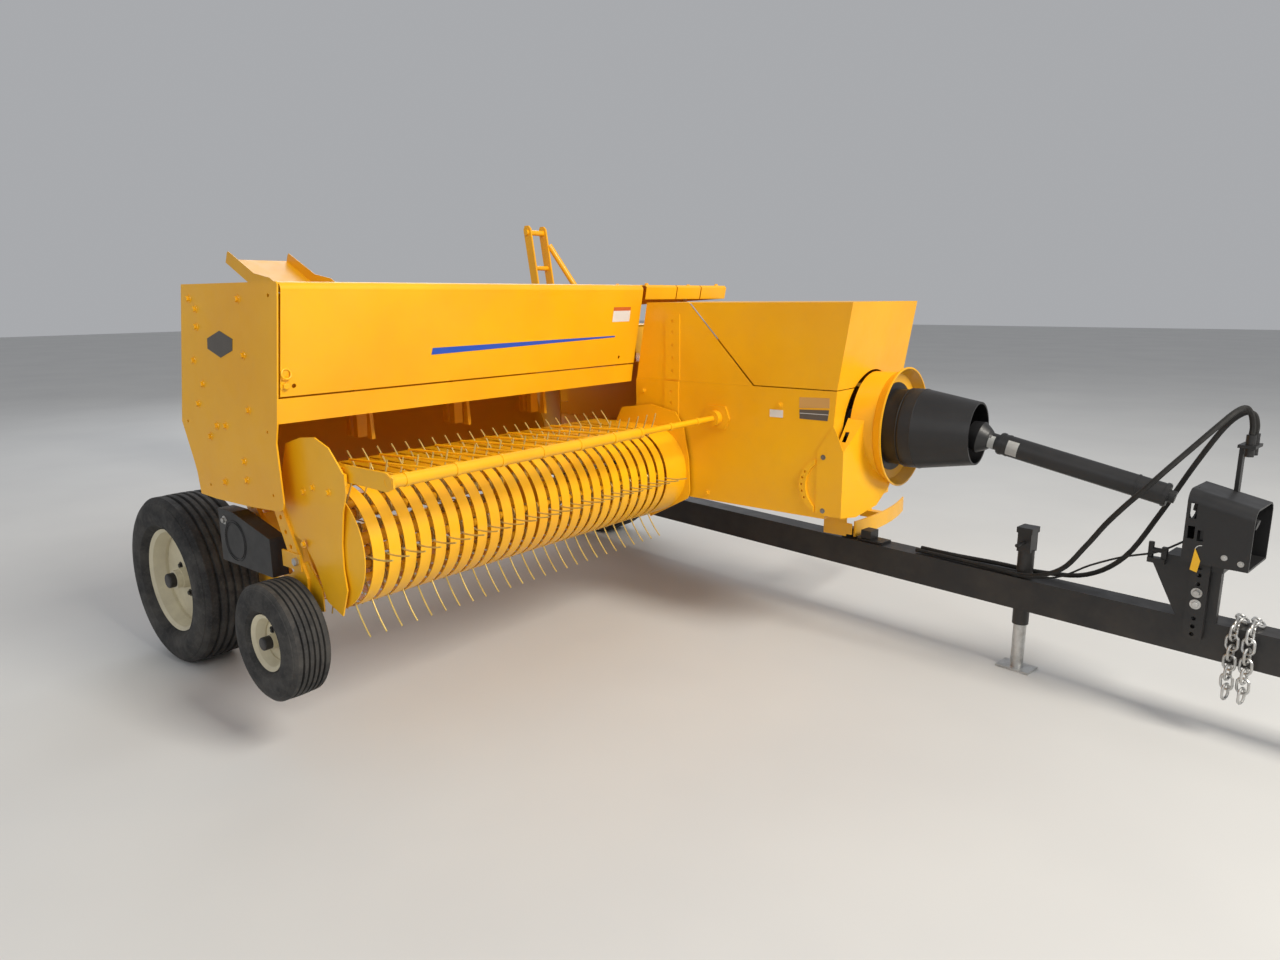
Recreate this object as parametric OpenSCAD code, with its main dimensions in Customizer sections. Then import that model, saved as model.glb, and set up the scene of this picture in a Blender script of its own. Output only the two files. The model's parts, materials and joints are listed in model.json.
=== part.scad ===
// Square baler, towed, with the pickup on its right side.
// X runs forward to the hitch, Y to the machine's left, Z up. Millimetres.
// Places are measured from the main axle's centre line at the ground, on the
// bale chamber's centre line; place() moves each piece to the part's origin.

/* [View] */
// which piece is drawn

/* [Bale chamber] */
// inner width of the bale chamber
chamber_w = 457; // [400:1:480]
// inner height of the bale chamber
chamber_h = 356; // [330:1:420]
// height of the chamber floor above the ground
floor_z = 800; // [770:1:820]
// rear end of the chamber behind the axle
chamber_rear = 850; // [700:1:1000]

/* [Feeder housing] */
// outer face of the right end panel, from the chamber centre
end_y = 1990; // [1900:1:2050]
// height of the housing roof
roof_z = 1500; // [1480:1:1560]
// height of the lower edge of the front strip
strip_z = 1079; // [1040:1:1100]

/* [Wheels] */
// diameter of the main tyres
tyre_d = 686; // [660:1:700]
// width of the main tyres
tyre_w = 241; // [220:1:250]
// diameter of the main rims at the flange
rim_d = 417; // [400:1:430]
// diameter of the gauge wheel tyre
gauge_d = 381; // [350:1:400]
// width of the gauge wheel tyre
gauge_w = 138; // [130:1:145]
// diameter of the gauge rim at the flange
gauge_rim_d = 181; // [170:1:190]

/* [Pickup] */
// height of the reel centre, pickup raised
reel_z = 700; // [690:1:720]
// radius of the stripper bands
band_r = 195; // [185:1:205]
// radius of the circle of the tine tips
tip_r = 312; // [290:1:320]
// spacing of the tines along a bar
tine_pitch = 57.5; // [54:0.5:58]
// gaps between bands, one tine of every bar in each
tine_gaps = 26; // [20:1:26]
// tine bars on the reel
tine_bars = 6; // [4:1:6]

/* [Tongue] */
// depth of the tongue tube
tongue_h = 125; // [120:1:130]
// width of the tongue tube
tongue_w = 100; // [90:1:110]
// heading of the tongue to the right of straight ahead, in degrees
tongue_turn = 8.5; // [6:0.5:9]
// bore of the hitch pin
hitch_pin_d = 32; // [25:1:35]

/* [Hidden] */
paint = [0.96, 0.66, 0.06];
black = [0.06, 0.06, 0.065];
rubber = [0.09, 0.09, 0.09];
cream = [0.86, 0.82, 0.66];
zinc = [0.68, 0.69, 0.70];
bare = [0.42, 0.41, 0.40];
sheet = 5;
seat = 0.3;
shift_x = -672;
shift_y = 639;

// chamber and front case
wall = 6;
half_w = chamber_w / 2;
out_w = half_w + wall;
ceil_z = floor_z + chamber_h;
feed_x0 = 560;
post_x = [-690, -520];
feed_x1 = 1060;
case_x0 = 1108;
case_y = 305;
case_z0 = 590;
seam_z = 1095;
hood_z = 1425;
case_x1b = 2056;
chamber_x1 = case_x1b - 60;
case_x1s = 2090;
case_cross = [1200, 1890];
gearbox_x = [1640, 1935];
gearbox_w = 140;
hood_x1 = 2140;
crank_z = 935;
hood_hinge_x = [1800, 2020];
hood_hinge_y = case_y + 8;
hood_hinge_z = seam_z + 14;

// housing profile
roof_x0 = 544;
roof_x1 = 1157;
foot_x0 = 433;
foot_x1 = 1083;
lid_seam_z = 1159;
bend = 22;
lid_hinge_x = 533;
lid_hinge_z = 1478;
lid_hinge_y = [-1900, -1150, -460];
lid_lean = (roof_x1 - foot_x1) / (roof_z - strip_z);
seam_x = foot_x1 + lid_lean * (lid_seam_z - strip_z);

// wheels
axle_z = tyre_d / 2;
wheel_r_y = -1830;
wheel_l_y = 700;
gauge_x = 1062;
gauge_y = -2029;
gauge_z = 400;
axle_box = 90;

// chute
chute_x0 = -chamber_rear - 12;
chute_z0 = floor_z + 20;
chute_tilt = 26;
chute_l = 2080;
ear_gap = 5;

// twine box lid
twine_hinge = [60, 440];
twine_hinge_y = 361;
twine_hinge_z = 1299;

// pickup
reel_x = 1205;
bar_r = 122;
gap_y0 = -1908;
band_w = 41;
band_t = 3;
band_pitch = tine_pitch;
deck_x = 890;
plate_y0 = -1945;
plate_y1 = -318;
reel_y0 = plate_y0 + 14;
reel_y1 = plate_y1 - 14;
flare = 14;
lift_x = 640;
lift_z = 742;
lift_y = [-1880, -366];
tube_x = 905;
cross_r = 30;
cross_z = reel_z - band_r - cross_r - seat;
pin_r = 16;
guard_x = 1545;
guard_z = 950;

// flywheel and drive
fly_x = 2125;
fly_r = 200;
ring_x = 2240;
guard_x0 = 2104;
guard_x1 = 2128;
guard_lean = 19;
ring_r = 237;
bell_x0 = 2256;
bell_x1 = 2527;
bell_foot = ring_x - 45 + seat - bell_x0;
joint_x = 2480;
tube_r = 34;
support_x = 3222;
support_y = -12;
support_z = 775;
support_t = -46;
shield_z = 829;

// wheel that counts the bale's length
meter_x = 120;
meter_y = -96;
meter_z = ceil_z + 70;

// tongue
pivot_x = 520;
pivot_y = 438;
tongue_z0 = 257;
tongue_l = 3480;
jack_s = 2210;
stand_s = 2738;
arc_r = 1452;
arc_z = 390;
arc_a0 = -9.6;
arc_a1 = 14;
arc_x = pivot_x + arc_r;
hitch_s = 3560;

// moves a piece from the axle's place to the part's origin
module place() translate([shift_x, shift_y, 0]) children();

// a bar along Y from y0 to y1
module ybar(r, y0, y1, x, z, n = 48)
  translate([x, y0, z]) rotate([-90, 0, 0]) cylinder(r = r, h = y1 - y0, $fn = n);

// a bar along X from x0 to x1
module xbar(r, x0, x1, y, z, n = 48)
  translate([x0, y, z]) rotate([0, 90, 0]) cylinder(r = r, h = x1 - x0, $fn = n);

// a flat plate in the X-Z plane, from y0 to y0 + t
module xz_plate(pts, y0, t)
  translate([0, y0 + t, 0]) rotate([90, 0, 0]) linear_extrude(t) polygon(pts);

// a flat plate in the Y-Z plane, from x0 to x0 + t
module yz_plate(pts, x0, t)
  translate([x0, 0, 0]) rotate([90, 0, 90]) linear_extrude(t) polygon(pts);

// a round rod from a to b
module rod(a, b, r, n = 24) {
  d = b - a;
  l = norm(d);
  translate(a) rotate([0, acos(d[2] / l), atan2(d[1], d[0])]) cylinder(r = r, h = l, $fn = n);
}

// a block from corner a to corner b
module block(a, b) translate(a) cube(b - a);

// the tongue's own frame: origin at its pivot, X along the tongue
module on_tongue() translate([pivot_x, pivot_y, 0]) rotate([0, 0, -tongue_turn]) children();

// Bale chamber and its frames

// one side wall from x0 to x1, s = 1 left, -1 right, with windows between the rails
module chamber_wall(s, x0, x1) difference() {
  block([x0, s > 0 ? half_w : -out_w, floor_z + seat], [x1, s > 0 ? out_w : -half_w, ceil_z - seat]);
  for (x = [-760, -430, -100])
    block([x, s * out_w - 8, floor_z + 70], [x + 270, s * out_w + 8, ceil_z - 70]);
}

// ear beside the chamber's rear end with the chute's hinge bore
module chute_ear(s) difference() {
  y = s > 0 ? out_w + ear_gap : -out_w - ear_gap - 10;
  union() {
    ybar(22, y, y + 10, chute_x0, chute_z0);
    block([chute_x0, y, chute_z0 - 22 + seat], [-chamber_rear + 30, y + 10, chute_z0 + 22]);
    block([-chamber_rear + 4, s > 0 ? out_w - 1 : y + 9, chute_z0 - 19],
          [-chamber_rear + 30, s > 0 ? y + 1 : -out_w + 1, chute_z0 + 22]);
  }
  ybar(10.05, y - 1, y + 11, chute_x0, chute_z0);
}

module bale_chamber() place() color(paint) {
  // floor with its needle slots
  difference() {
    block([-chamber_rear, -out_w, floor_z - wall], [chamber_x1, out_w, floor_z]);
    for (y = [-90, 90]) block([455, y - 14, floor_z - wall - 1], [560, y + 14, floor_z + 1]);
  }
  // roof with its needle slots, open behind the knotters between the top rails
  difference() {
    block([-chamber_rear, -out_w, ceil_z], [chamber_x1, out_w, ceil_z + wall]);
    for (y = [-90, 90]) block([455, y - 14, ceil_z - 1], [560, y + 14, ceil_z + wall + 1]);
    block([-chamber_rear - 1, -half_w + 70, ceil_z - 1], [250, half_w - 70, ceil_z + wall + 1]);
  }
  // the left wall, and the right wall's two parts beside the feed opening
  chamber_wall(1, -chamber_rear, chamber_x1);
  chamber_wall(-1, -chamber_rear, feed_x0);
  chamber_wall(-1, feed_x1, chamber_x1);
  for (s = [-1, 1]) chute_ear(s);
}

module chamber_rails() color(paint) {
  for (s = [-1, 1]) for (z = [floor_z + 20, ceil_z - 56]) {
    block([-chamber_rear + 60, s > 0 ? out_w + seat : -out_w - 38 - seat, z],
          [400, s > 0 ? out_w + 38 + seat : -out_w - seat, z + 36]);
  }
}

module tension_posts() color(paint) {
  // cross channels above and below with posts beside the chamber
  for (x = post_x) {
    block([x, -out_w - 95, ceil_z + 70], [x + 60, out_w + 95, ceil_z + 130]);
    block([x, -out_w - 95, floor_z - 110], [x + 60, out_w + 95, floor_z - 60]);
    for (s = [-1, 1])
      block([x, s > 0 ? out_w + 60 : -out_w - 95, floor_z - 60 + seat],
            [x + 60, s > 0 ? out_w + 95 : -out_w - 60, ceil_z + 70 - seat]);
  }
  // ties from post to post beside the rails, and under and over the chamber
  for (s = [-1, 1])
    block([post_x[0], s > 0 ? out_w + 38 + 2 * seat : -out_w - 61, floor_z + 26],
          [post_x[1] + 60, s > 0 ? out_w + 61 : -out_w - 38 - 2 * seat, floor_z + 50]);
  block([post_x[0] + 59, -out_w - 60, floor_z - 100], [post_x[1] + 1, out_w + 60, floor_z - 70]);
  block([post_x[0], -60, ceil_z + 129], [post_x[1] + 60, 60, ceil_z + 138]);
}

module tension_cylinder() translate([(post_x[0] + post_x[1] + 60) / 2, 0, ceil_z]) {
  color(paint) translate([0, 0, 137]) cylinder(r = 34, h = 12, $fn = 48);
  color(black) translate([0, 0, 148]) cylinder(r = 28, h = 90, $fn = 48);
  color(zinc) translate([0, 0, 237]) cylinder(r = 14, h = 26, $fn = 32);
}

module tension_frame() place() {
  chamber_rails();
  tension_posts();
  tension_cylinder();
}

// Running gear

module axle_beam() color(paint) {
  block([-axle_box / 2, wheel_r_y + tyre_w / 2 + 30, axle_z - axle_box / 2],
        [axle_box / 2, wheel_l_y - tyre_w / 2 - 30, axle_z + axle_box / 2]);
  ybar(24, wheel_r_y - 40, wheel_r_y + tyre_w / 2 + 31, 0, axle_z);
  ybar(24, wheel_l_y - tyre_w / 2 - 31, wheel_l_y + 40, 0, axle_z);
  // saddles up to the chamber floor
  for (y = [-170, 170])
    block([-45, y - 30, axle_z + axle_box / 2 - 1], [45, y + 30, floor_z - wall - seat]);
  // left arm with the two ears and the pin of the tongue's pivot
  block([axle_box / 2 - 1, pivot_y - 50, axle_z - 40], [pivot_x - 80, pivot_y + 50, axle_z + 40]);
  for (z = [tongue_z0 - 30, tongue_z0 + tongue_h + 20]) block([60, pivot_y - 50, z], [pivot_x + 50, pivot_y + 50, z + 12]);
  block([60, pivot_y - 50, tongue_z0 - 30], [pivot_x - 80, pivot_y + 50, tongue_z0 + tongue_h + 32]);
  translate([pivot_x, pivot_y, tongue_z0 - 36]) cylinder(r = 25.95, h = tongue_h + 74, $fn = 48);
  // right arm forward to the transverse beam
  block([30, wheel_r_y + 140, axle_z - 40], [620, wheel_r_y + 190, axle_z + 40]);
  block([560, wheel_r_y + 140, axle_z - 40], [620, wheel_r_y + 190, 600 - seat]);
}

module frame_beam() color(paint) {
  block([560, -end_y + 70 + seat, 600], [620, -240, 700]);
  // ears and pins of the pickup's two lift arms
  for (y = lift_y) {
    xz_plate([[590, 699], [620, 699], [672, 728], [672, 772], [600, 772]], y + 22, 12);
    ybar(14, y - 4, y + 23, lift_x, lift_z);
  }
  block([560, -300, 600], [620, -240, floor_z - wall - seat]);
  block([560, -240.5, 600], [620, 240, 660]);
  block([560, 180, 600], [620, 240, floor_z - wall - seat]);
}

module main_axle() place() {
  axle_beam();
  frame_beam();
}

module tyre(w, d, rd) {
  r = d / 2;
  b = rd / 2;
  h = w / 2;
  rotate([90, 0, 0]) rotate_extrude($fn = 72)
    polygon([
      [b - 6, -h * 0.66], [b + 3.4, -h * 0.69], [b + 12, -h * 0.86], [b + (r - b) * 0.35, -h], [b + (r - b) * 0.62, -h],
      [r - 12, -h * 0.86], [r - 3, -h * 0.74], [r, -h * 0.4], [r, h * 0.4], [r - 3, h * 0.74],
      [r - 12, h * 0.86], [b + (r - b) * 0.62, h], [b + (r - b) * 0.35, h], [b + 12, h * 0.86], [b + 3.4, h * 0.69], [b - 6, h * 0.66]
    ]);
}

// a drop-centre rim with its disc towards the outside (s = -1 right, 1 left)
module rim(w, rd, s, disc_in, hub_r) {
  b = rd / 2;
  h = w / 2;
  rotate([90, 0, 0]) rotate_extrude($fn = 72)
    polygon([
      [b - 6.3, -h * 0.66], [b + 2, -h * 0.7], [b + 2, -h * 0.7 - 5], [b - 12, -h * 0.66], [b - 26, -h * 0.3],
      [b - 26, h * 0.3], [b - 12, h * 0.66], [b + 2, h * 0.7 + 5], [b + 2, h * 0.7], [b - 6.3, h * 0.66],
      [b - 20, h * 0.3], [b - 20, -h * 0.3]
    ]);
  translate([0, s * disc_in, 0]) rotate([90, 0, 0]) difference() {
    translate([0, 0, -4]) cylinder(r = b - 21, h = 8, $fn = 72);
    translate([0, 0, -5]) cylinder(r = hub_r * 0.5, h = 10, $fn = 48);
  }
}

module tyre_right() place() color(rubber) translate([0, wheel_r_y, axle_z]) tyre(tyre_w, tyre_d, rim_d);
module tyre_left() place() color(rubber) translate([0, wheel_l_y, axle_z]) tyre(tyre_w, tyre_d, rim_d);

module main_rim(s) {
  color(cream) rim(tyre_w, rim_d, s, 20, 60);
  color(black) rotate([90, 0, 0]) difference() {
    translate([0, 0, -60]) cylinder(r = 42, h = 120, $fn = 48);
    translate([0, 0, -62]) cylinder(r = 24.05, h = 124, $fn = 48);
  }
  color(black) translate([0, s * 60, 0]) rotate([-90 * s, 0, 0]) difference() {
    cylinder(r = 38, h = 22, $fn = 48);
    translate([0, 0, -1]) cylinder(r = 30, h = 17, $fn = 48);
  }
}
module rim_right() place() translate([0, wheel_r_y, axle_z]) main_rim(-1);
module rim_left() place() translate([0, wheel_l_y, axle_z]) main_rim(1);

module gauge_tyre() place() color(rubber) translate([gauge_x, gauge_y, gauge_z]) tyre(gauge_w, gauge_d, gauge_rim_d);
module gauge_rim() place() translate([gauge_x, gauge_y, gauge_z]) {
  color(cream) rim(gauge_w, gauge_rim_d, -1, 12, 26);
  color(black) rotate([90, 0, 0]) difference() {
    translate([0, 0, -36]) cylinder(r = 24, h = 76, $fn = 48);
    translate([0, 0, -38]) cylinder(r = 12.55, h = 80, $fn = 48);
  }
}

// Front case, hood and drive

case_side = [[case_x0, case_z0], [case_x1b, case_z0], [case_x1s, seam_z - 2], [case_x0, seam_z - 2]];

module front_case() place() color(paint) {
  difference() {
    union() {
      xz_plate(case_side, case_y - sheet, sheet);
      // front crosswall with the drive opening
      difference() {
        yz_plate([[-case_y + sheet + seat, case_z0], [case_y - sheet, case_z0],
                  [case_y - sheet, seam_z - 2], [-case_y + sheet + seat, seam_z - 2]], case_x1b - sheet - 40, sheet);
        xbar(150, case_x1b - 60, case_x1b, 0, crank_z);
      }
      // leaning front sheet with the round opening for the flywheel
      difference() {
        xz_plate([[case_x1b - sheet, case_z0], [case_x1b, case_z0], [case_x1s, seam_z - 2], [case_x1s - sheet, seam_z - 2]],
                 -case_y + sheet + seat, 2 * case_y - 2 * sheet - seat);
        xbar(ring_r - 14, case_x1b - 60, case_x1s + 60, 0, crank_z, 96);
      }
      // bottom edge frame
      block([case_x0, -case_y + sheet + seat, case_z0], [case_x1b - 40, -case_y + 50, case_z0 + sheet]);
      block([case_x0, case_y - 50, case_z0], [case_x1b - 40, case_y, case_z0 + sheet]);
      // cross channels that hold the chamber and rest on the tongue
      for (x = case_cross)
        block([x, -case_y + sheet + seat, case_z0 + sheet - 1], [x + 90, case_y - sheet, case_z0 + 45]);
      for (x = case_cross) for (y = [-170, 110])
        block([x, y, case_z0 + 44], [x + 90, y + 60, floor_z - wall - seat]);
      // lugs and pins of the hood's hinge
      for (x = hood_hinge_x) {
        for (e = [x - 41, x + 36])
          yz_plate([[304, 1060], [305.3, 1092], [306.5, 1096], [306.5, 1112], [311, 1116], [321, 1116], [321, 1100], [309, 1060]], e, 5);
        xbar(5, x - 37, x + 37, hood_hinge_y, hood_hinge_z, 32);
      }
    }
  }
}

// curved plate around the tongue's pivot, with the brackets that hang it from the case
module tongue_arc() place() color(paint) {
  translate([pivot_x, pivot_y, arc_z]) rotate([0, 0, arc_a0]) rotate_extrude(angle = arc_a1 - arc_a0, $fn = 180)
    translate([arc_r, 0]) square([8, 70]);
  // bracket plates down from the case's cross channel, beside the arc's right end
  block([arc_x - 160, 180, arc_z], [arc_x - 50, 188, case_z0 - seat]);
  block([arc_x - 160, -120, case_z0 - 40], [arc_x - 100, 188, case_z0 - seat]);
  block([arc_x - 51, 180, arc_z + 10], [arc_x - 24, 188, arc_z + 60]);
  // strut from the case's left side to the arc's left part, above the latch's way
  block([arc_x - 100, 187, case_z0 - 40], [arc_x - 60, 470, case_z0 - seat]);
  block([arc_x - 100, 430, arc_z + 36], [arc_x - 60, 470, case_z0 - seat]);
  block([arc_x - 61, 430, arc_z + 36], [arc_x + 7, 470, arc_z + 66]);
}

module case_panel_right() place() color(paint) {
  xz_plate(case_side, -case_y, sheet);
  // strip with a row of holes, standing on the panel's rear part
  difference() {
    xz_plate([[1270, seam_z - 170], [1345, seam_z - 170], [1345, seam_z - 4], [1270, seam_z - 4]],
             -case_y - 4, 4.5);
    for (z = [seam_z - 150, seam_z - 100, seam_z - 50]) ybar(7, -case_y - 6, -case_y - seat, 1306, z, 24);
  }
  // flange that holds the wind guard's end
  translate([0, -case_y - 8, 0]) difference() {
    union() {
      xz_plate([[1500, 905], [1590, 905], [1612, 950], [1590, 1000], [1500, 1000], [1480, 950]], 0, 8.3);
      ybar(32, -30, 1, guard_x, guard_z);
    }
    ybar(12.05, -40, 4, guard_x, guard_z);
  }
  // notched crescent that sets the belt guard
  difference() {
    translate([0, -case_y - 10 + 0.5, 0]) rotate([90, 0, 0]) translate([2060, 720, -10]) difference() {
      cylinder(r = 115, h = 10, $fn = 64);
      translate([26, 0, -1]) cylinder(r = 112, h = 12, $fn = 64);
    }
    block([2012, -case_y - 30, 500], [2300, -case_y + 30, 900]);
    for (a = [150, 165, 180, 195, 210])
      ybar(5, -case_y - 12, -case_y - 1, 2060 + 104 * cos(a), 720 + 104 * sin(a), 24);
  }
}

// the gearbox, the crank and the plunger, closed inside, as one plain block each
module plunger_drive() place() color(bare) {
  block([gearbox_x[0], -gearbox_w, floor_z + 20], [gearbox_x[1], gearbox_w, ceil_z - 30]);
  xbar(60, gearbox_x[1] - 5, case_x1b - 44, 0, crank_z);
  xbar(30, case_x1b - 46, fly_x + 30, 0, crank_z);
  block([1180, -half_w + 6, floor_z + seat], [1560, half_w - 6, ceil_z - 3]);
  block([1555, -40, crank_z - 30], [gearbox_x[0] + 5, 40, crank_z + 30]);
}

// sheet hood cut along a leaning seam, the rear part standing on the case
module hood_shell(rear, z0) {
  intersection() {
    difference() {
      xz_plate([[case_x0 + 4, z0], [case_x1s, z0], [hood_x1, hood_z], [case_x0 + 64, hood_z]],
               -case_y, 2 * case_y);
      xz_plate([[case_x0 - 90, seam_z - 8], [case_x1s - sheet, seam_z - 8], [hood_x1 - sheet, hood_z - sheet],
                [case_x0 - 90, hood_z - sheet]], -case_y + sheet, 2 * (case_y - sheet));
    }
    xz_plate(rear
      ? [[case_x0, seam_z - 20], [1736, seam_z - 20], [1375, hood_z + 20], [case_x0, hood_z + 20]]
      : [[1746, seam_z - 20], [case_x1s + 200, seam_z - 20], [case_x1s + 200, hood_z + 20], [1385, hood_z + 20]],
      -case_y - 10, 2 * case_y + 20);
  }
}

module hood_rear() place() color(paint) {
  hood_shell(true, seam_z - 2 + seat);
  // upper part of the strip with holes
  difference() {
    xz_plate([[1276, seam_z + 4], [1351, seam_z + 4], [1351, hood_z - 50], [1276, hood_z - 50]],
             -case_y - 4, 4.5);
    for (z = [seam_z + 40, seam_z + 95, seam_z + 150, seam_z + 205, seam_z + 250])
      ybar(7, -case_y - 6, -case_y - seat, 1314, z, 24);
  }
}

module chamber_hood() place() color(paint) {
  difference() {
    hood_shell(false, seam_z + 2);
    xbar(ring_r - 14, case_x1s - 30, case_x1s + 60, 0, crank_z, 96);
  }
  // hinge barrels on the left lower edge
  for (x = hood_hinge_x) difference() {
    xbar(9, x - 35, x + 35, hood_hinge_y, hood_hinge_z, 32);
    xbar(5.05, x - 36, x + 36, hood_hinge_y, hood_hinge_z, 32);
  }
}

module flywheel() place() color(bare) translate([fly_x, 0, crank_z]) rotate([0, 90, 0]) difference() {
  union() {
    difference() {
      cylinder(r = fly_r, h = 48, $fn = 72);
      translate([0, 0, -1]) cylinder(r = fly_r - 42, h = 50, $fn = 72);
    }
    translate([0, 0, 16]) cylinder(r = fly_r - 41, h = 16, $fn = 72);
    translate([0, 0, 2]) cylinder(r = 62, h = 62, $fn = 48);
    translate([0, 0, 60]) cylinder(r = 90, h = 34, $fn = 48);
    // drive yoke and cross in the bell
    translate([0, 0, 90]) cylinder(r = 34, h = joint_x - 9 - seat - fly_x - 90, $fn = 48);
  }
  translate([0, 0, -2]) cylinder(r = 30.05, h = 40, $fn = 48);
  for (a = [0 : 60 : 300]) rotate([0, 0, a]) translate([120, 0, 10]) cylinder(r = 26, h = 30, $fn = 32);
}

module flywheel_guard() place() color(paint) {
  // round shroud and its dished front ring
  translate([guard_x0, 0, crank_z]) rotate([0, 90, 0]) difference() {
    cylinder(r = ring_r - 22, h = ring_x - 42 - guard_x0, $fn = 96);
    translate([0, 0, -1]) cylinder(r = ring_r - 26, h = 200, $fn = 96);
  }
  translate([ring_x, 0, crank_z]) rotate([0, 90, 0]) rotate_extrude($fn = 96)
    polygon([[ring_r, 0], [ring_r, -5], [ring_r - 25, -44], [ring_r - 60, -50], [ring_r - 75, -50],
             [ring_r - 75, -45], [ring_r - 62, -45], [ring_r - 27, -40], [ring_r - 6, 0]]);
  // side plate on the case's right front edge, seated on the case's panel
  xz_plate([[case_x1b - 38, 604], [case_x1b - 38, 862.5], [2082, 961], [2094, 940], [guard_x1, 862.5], [guard_x1, 604]],
           -case_y - 4, 4 - seat);
  // sheet rising from it to the shroud's top, in front of the case
  difference() {
    yz_plate([[-309, 862.5], [-100, 1110], [-60, 1130], [-60, 1124], [-97, 1106], [-304, 861]], 2010, 200);
    on_guard_wall() block([-20, -200, 500], [400, -0.01, 1200]);
    block([2000, -case_y - seat, 500], [2094, 10, 1200]);
    translate([2010, -309, 0]) rotate([0, 0, -guard_lean]) block([-200, -20, 500], [8, 400, 1200]);
    xbar(ring_r - 24, 2000, 2300, 0, crank_z, 96);
    // slot in the rising face
    translate([2112, -262, 915]) rotate([50, 0, 0]) block([-9, -24, -30], [9, 24, 30]);
  }
  // leaning front wall from the side plate to the ring
  difference() {
    on_guard_wall() xz_plate([[0, 604], [0, 862.5], [221, 1110], [263, 1130], [263, 706], [194, 632], [80, 598]], 0, 4);
    xbar(ring_r - 24, 2000, 2300, 0, crank_z, 96);
  }
}
// the leaning wall's own frame, X along the wall from the side plate's front edge
module on_guard_wall() translate([guard_x1, -309, 0]) rotate([0, 0, 90 - guard_lean]) children();

module pto_bell() place() color(black) translate([bell_x0, 0, crank_z]) rotate([0, 90, 0])
  rotate_extrude($fn = 72) polygon([
    [146, bell_foot], [ring_r - 61, bell_foot], [ring_r - 61, bell_foot + 4], [150, bell_foot + 4], [150, 0], [156, 16],
    [156, 60], [120, bell_x1 - bell_x0], [113, bell_x1 - bell_x0], [150, 58], [150, 20], [146, 6]
  ]);

// the drive line's guard tubes lie along the line from the joint to the stand
drive_dx = support_x - joint_x;
drive_dz = support_z - crank_z;
drive_l = sqrt(drive_dx * drive_dx + support_y * support_y + drive_dz * drive_dz);
drive_yaw = atan2(support_y, drive_dx);
drive_dip = asin(-drive_dz / drive_l);
module on_drive() translate([joint_x, 0, crank_z]) rotate([0, drive_dip, drive_yaw]) children();

module drive_cross() color(zinc) translate([joint_x, 0, crank_z - 36]) cylinder(r = 9, h = 72, $fn = 32);
module pto_tube_rear() place() {
  drive_cross();
  drive_shafts();
}
module drive_shafts() on_drive() {
  color(black) rotate([0, 90, 0]) rotate_extrude($fn = 48)
    polygon([[24, 20], [52, 20], [60, 60], [40, 90], [tube_r - 4, 100], [tube_r - 4, 430], [tube_r - 8, 430], [tube_r - 8, 60], [24, 60]]);
  color(zinc) rotate([0, 90, 0]) union() {
    translate([0, 0, 40]) cylinder(r = 17, h = 415, $fn = 32);
    translate([0, 0, 42]) cylinder(r = 26, h = 14, $fn = 32);
  }
  color(zinc) block([2, -8, -24], [44, 8, 24]);
}
module pto_tube_front() place() on_drive() {
  color(black) rotate([0, 90, 0]) rotate_extrude($fn = 48)
    polygon([[tube_r, 130], [tube_r + 5, 130], [tube_r + 5, 150], [tube_r + 4, 700], [tube_r, 700]]);
  color(zinc) rotate([0, 90, 0]) difference() {
    translate([0, 0, 412]) cylinder(r = 21, h = 310, $fn = 32);
    translate([0, 0, 404]) cylinder(r = 18, h = 60, $fn = 32);
  }
  color(black) rotate([0, 90, 0]) difference() {
    translate([0, 0, 690]) cylinder(r = tube_r + 4, h = 12, $fn = 48);
    translate([0, 0, 688]) cylinder(r = 20, h = 16, $fn = 32);
  }
}

// Feeder housing

module housing_sheets() color(paint) {
  // rear sheet, leaning like the front
  xz_plate([[foot_x0, 1037], [foot_x0 + sheet, 1037], [roof_x0 + sheet, roof_z - 30], [roof_x0, roof_z - 30]],
           -end_y + sheet + seat, end_y - case_y);
  xz_plate([[foot_x0, 1037], [520, 790], [520 + sheet, 790], [foot_x0 + sheet, 1037]],
           -end_y + sheet + seat, end_y - case_y);
  // front strip below the lid, with its lower flange
  xz_plate([[foot_x1, strip_z], [seam_x - 2, lid_seam_z - 3], [seam_x - 2 - sheet, lid_seam_z - 3],
            [foot_x1 - sheet, strip_z + sheet], [foot_x1 - 40, strip_z + sheet], [foot_x1 - 40, strip_z]],
           -end_y + sheet + seat, end_y - case_y - 2 * sheet);
  // inner rail behind the strip and the beam that carries the feeder
  block([roof_x0 + 60, -end_y + sheet + seat, roof_z - 130], [roof_x0 + 120, -case_y, roof_z - 70]);
  // left end wall over the chamber
  difference() {
    xz_plate([[roof_x0 + sheet, roof_z - 32], [roof_x1 - 60, roof_z - 32], [foot_x1 - 22, strip_z + 10],
              [foot_x1 - 22, ceil_z + 14], [foot_x0 + 60, ceil_z + 14]], -case_y - 12, sheet);
    block([feed_x0 + 20, -case_y - 20, ceil_z - 60], [feed_x1 - 60, -case_y, ceil_z + 190]);
  }
}

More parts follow.
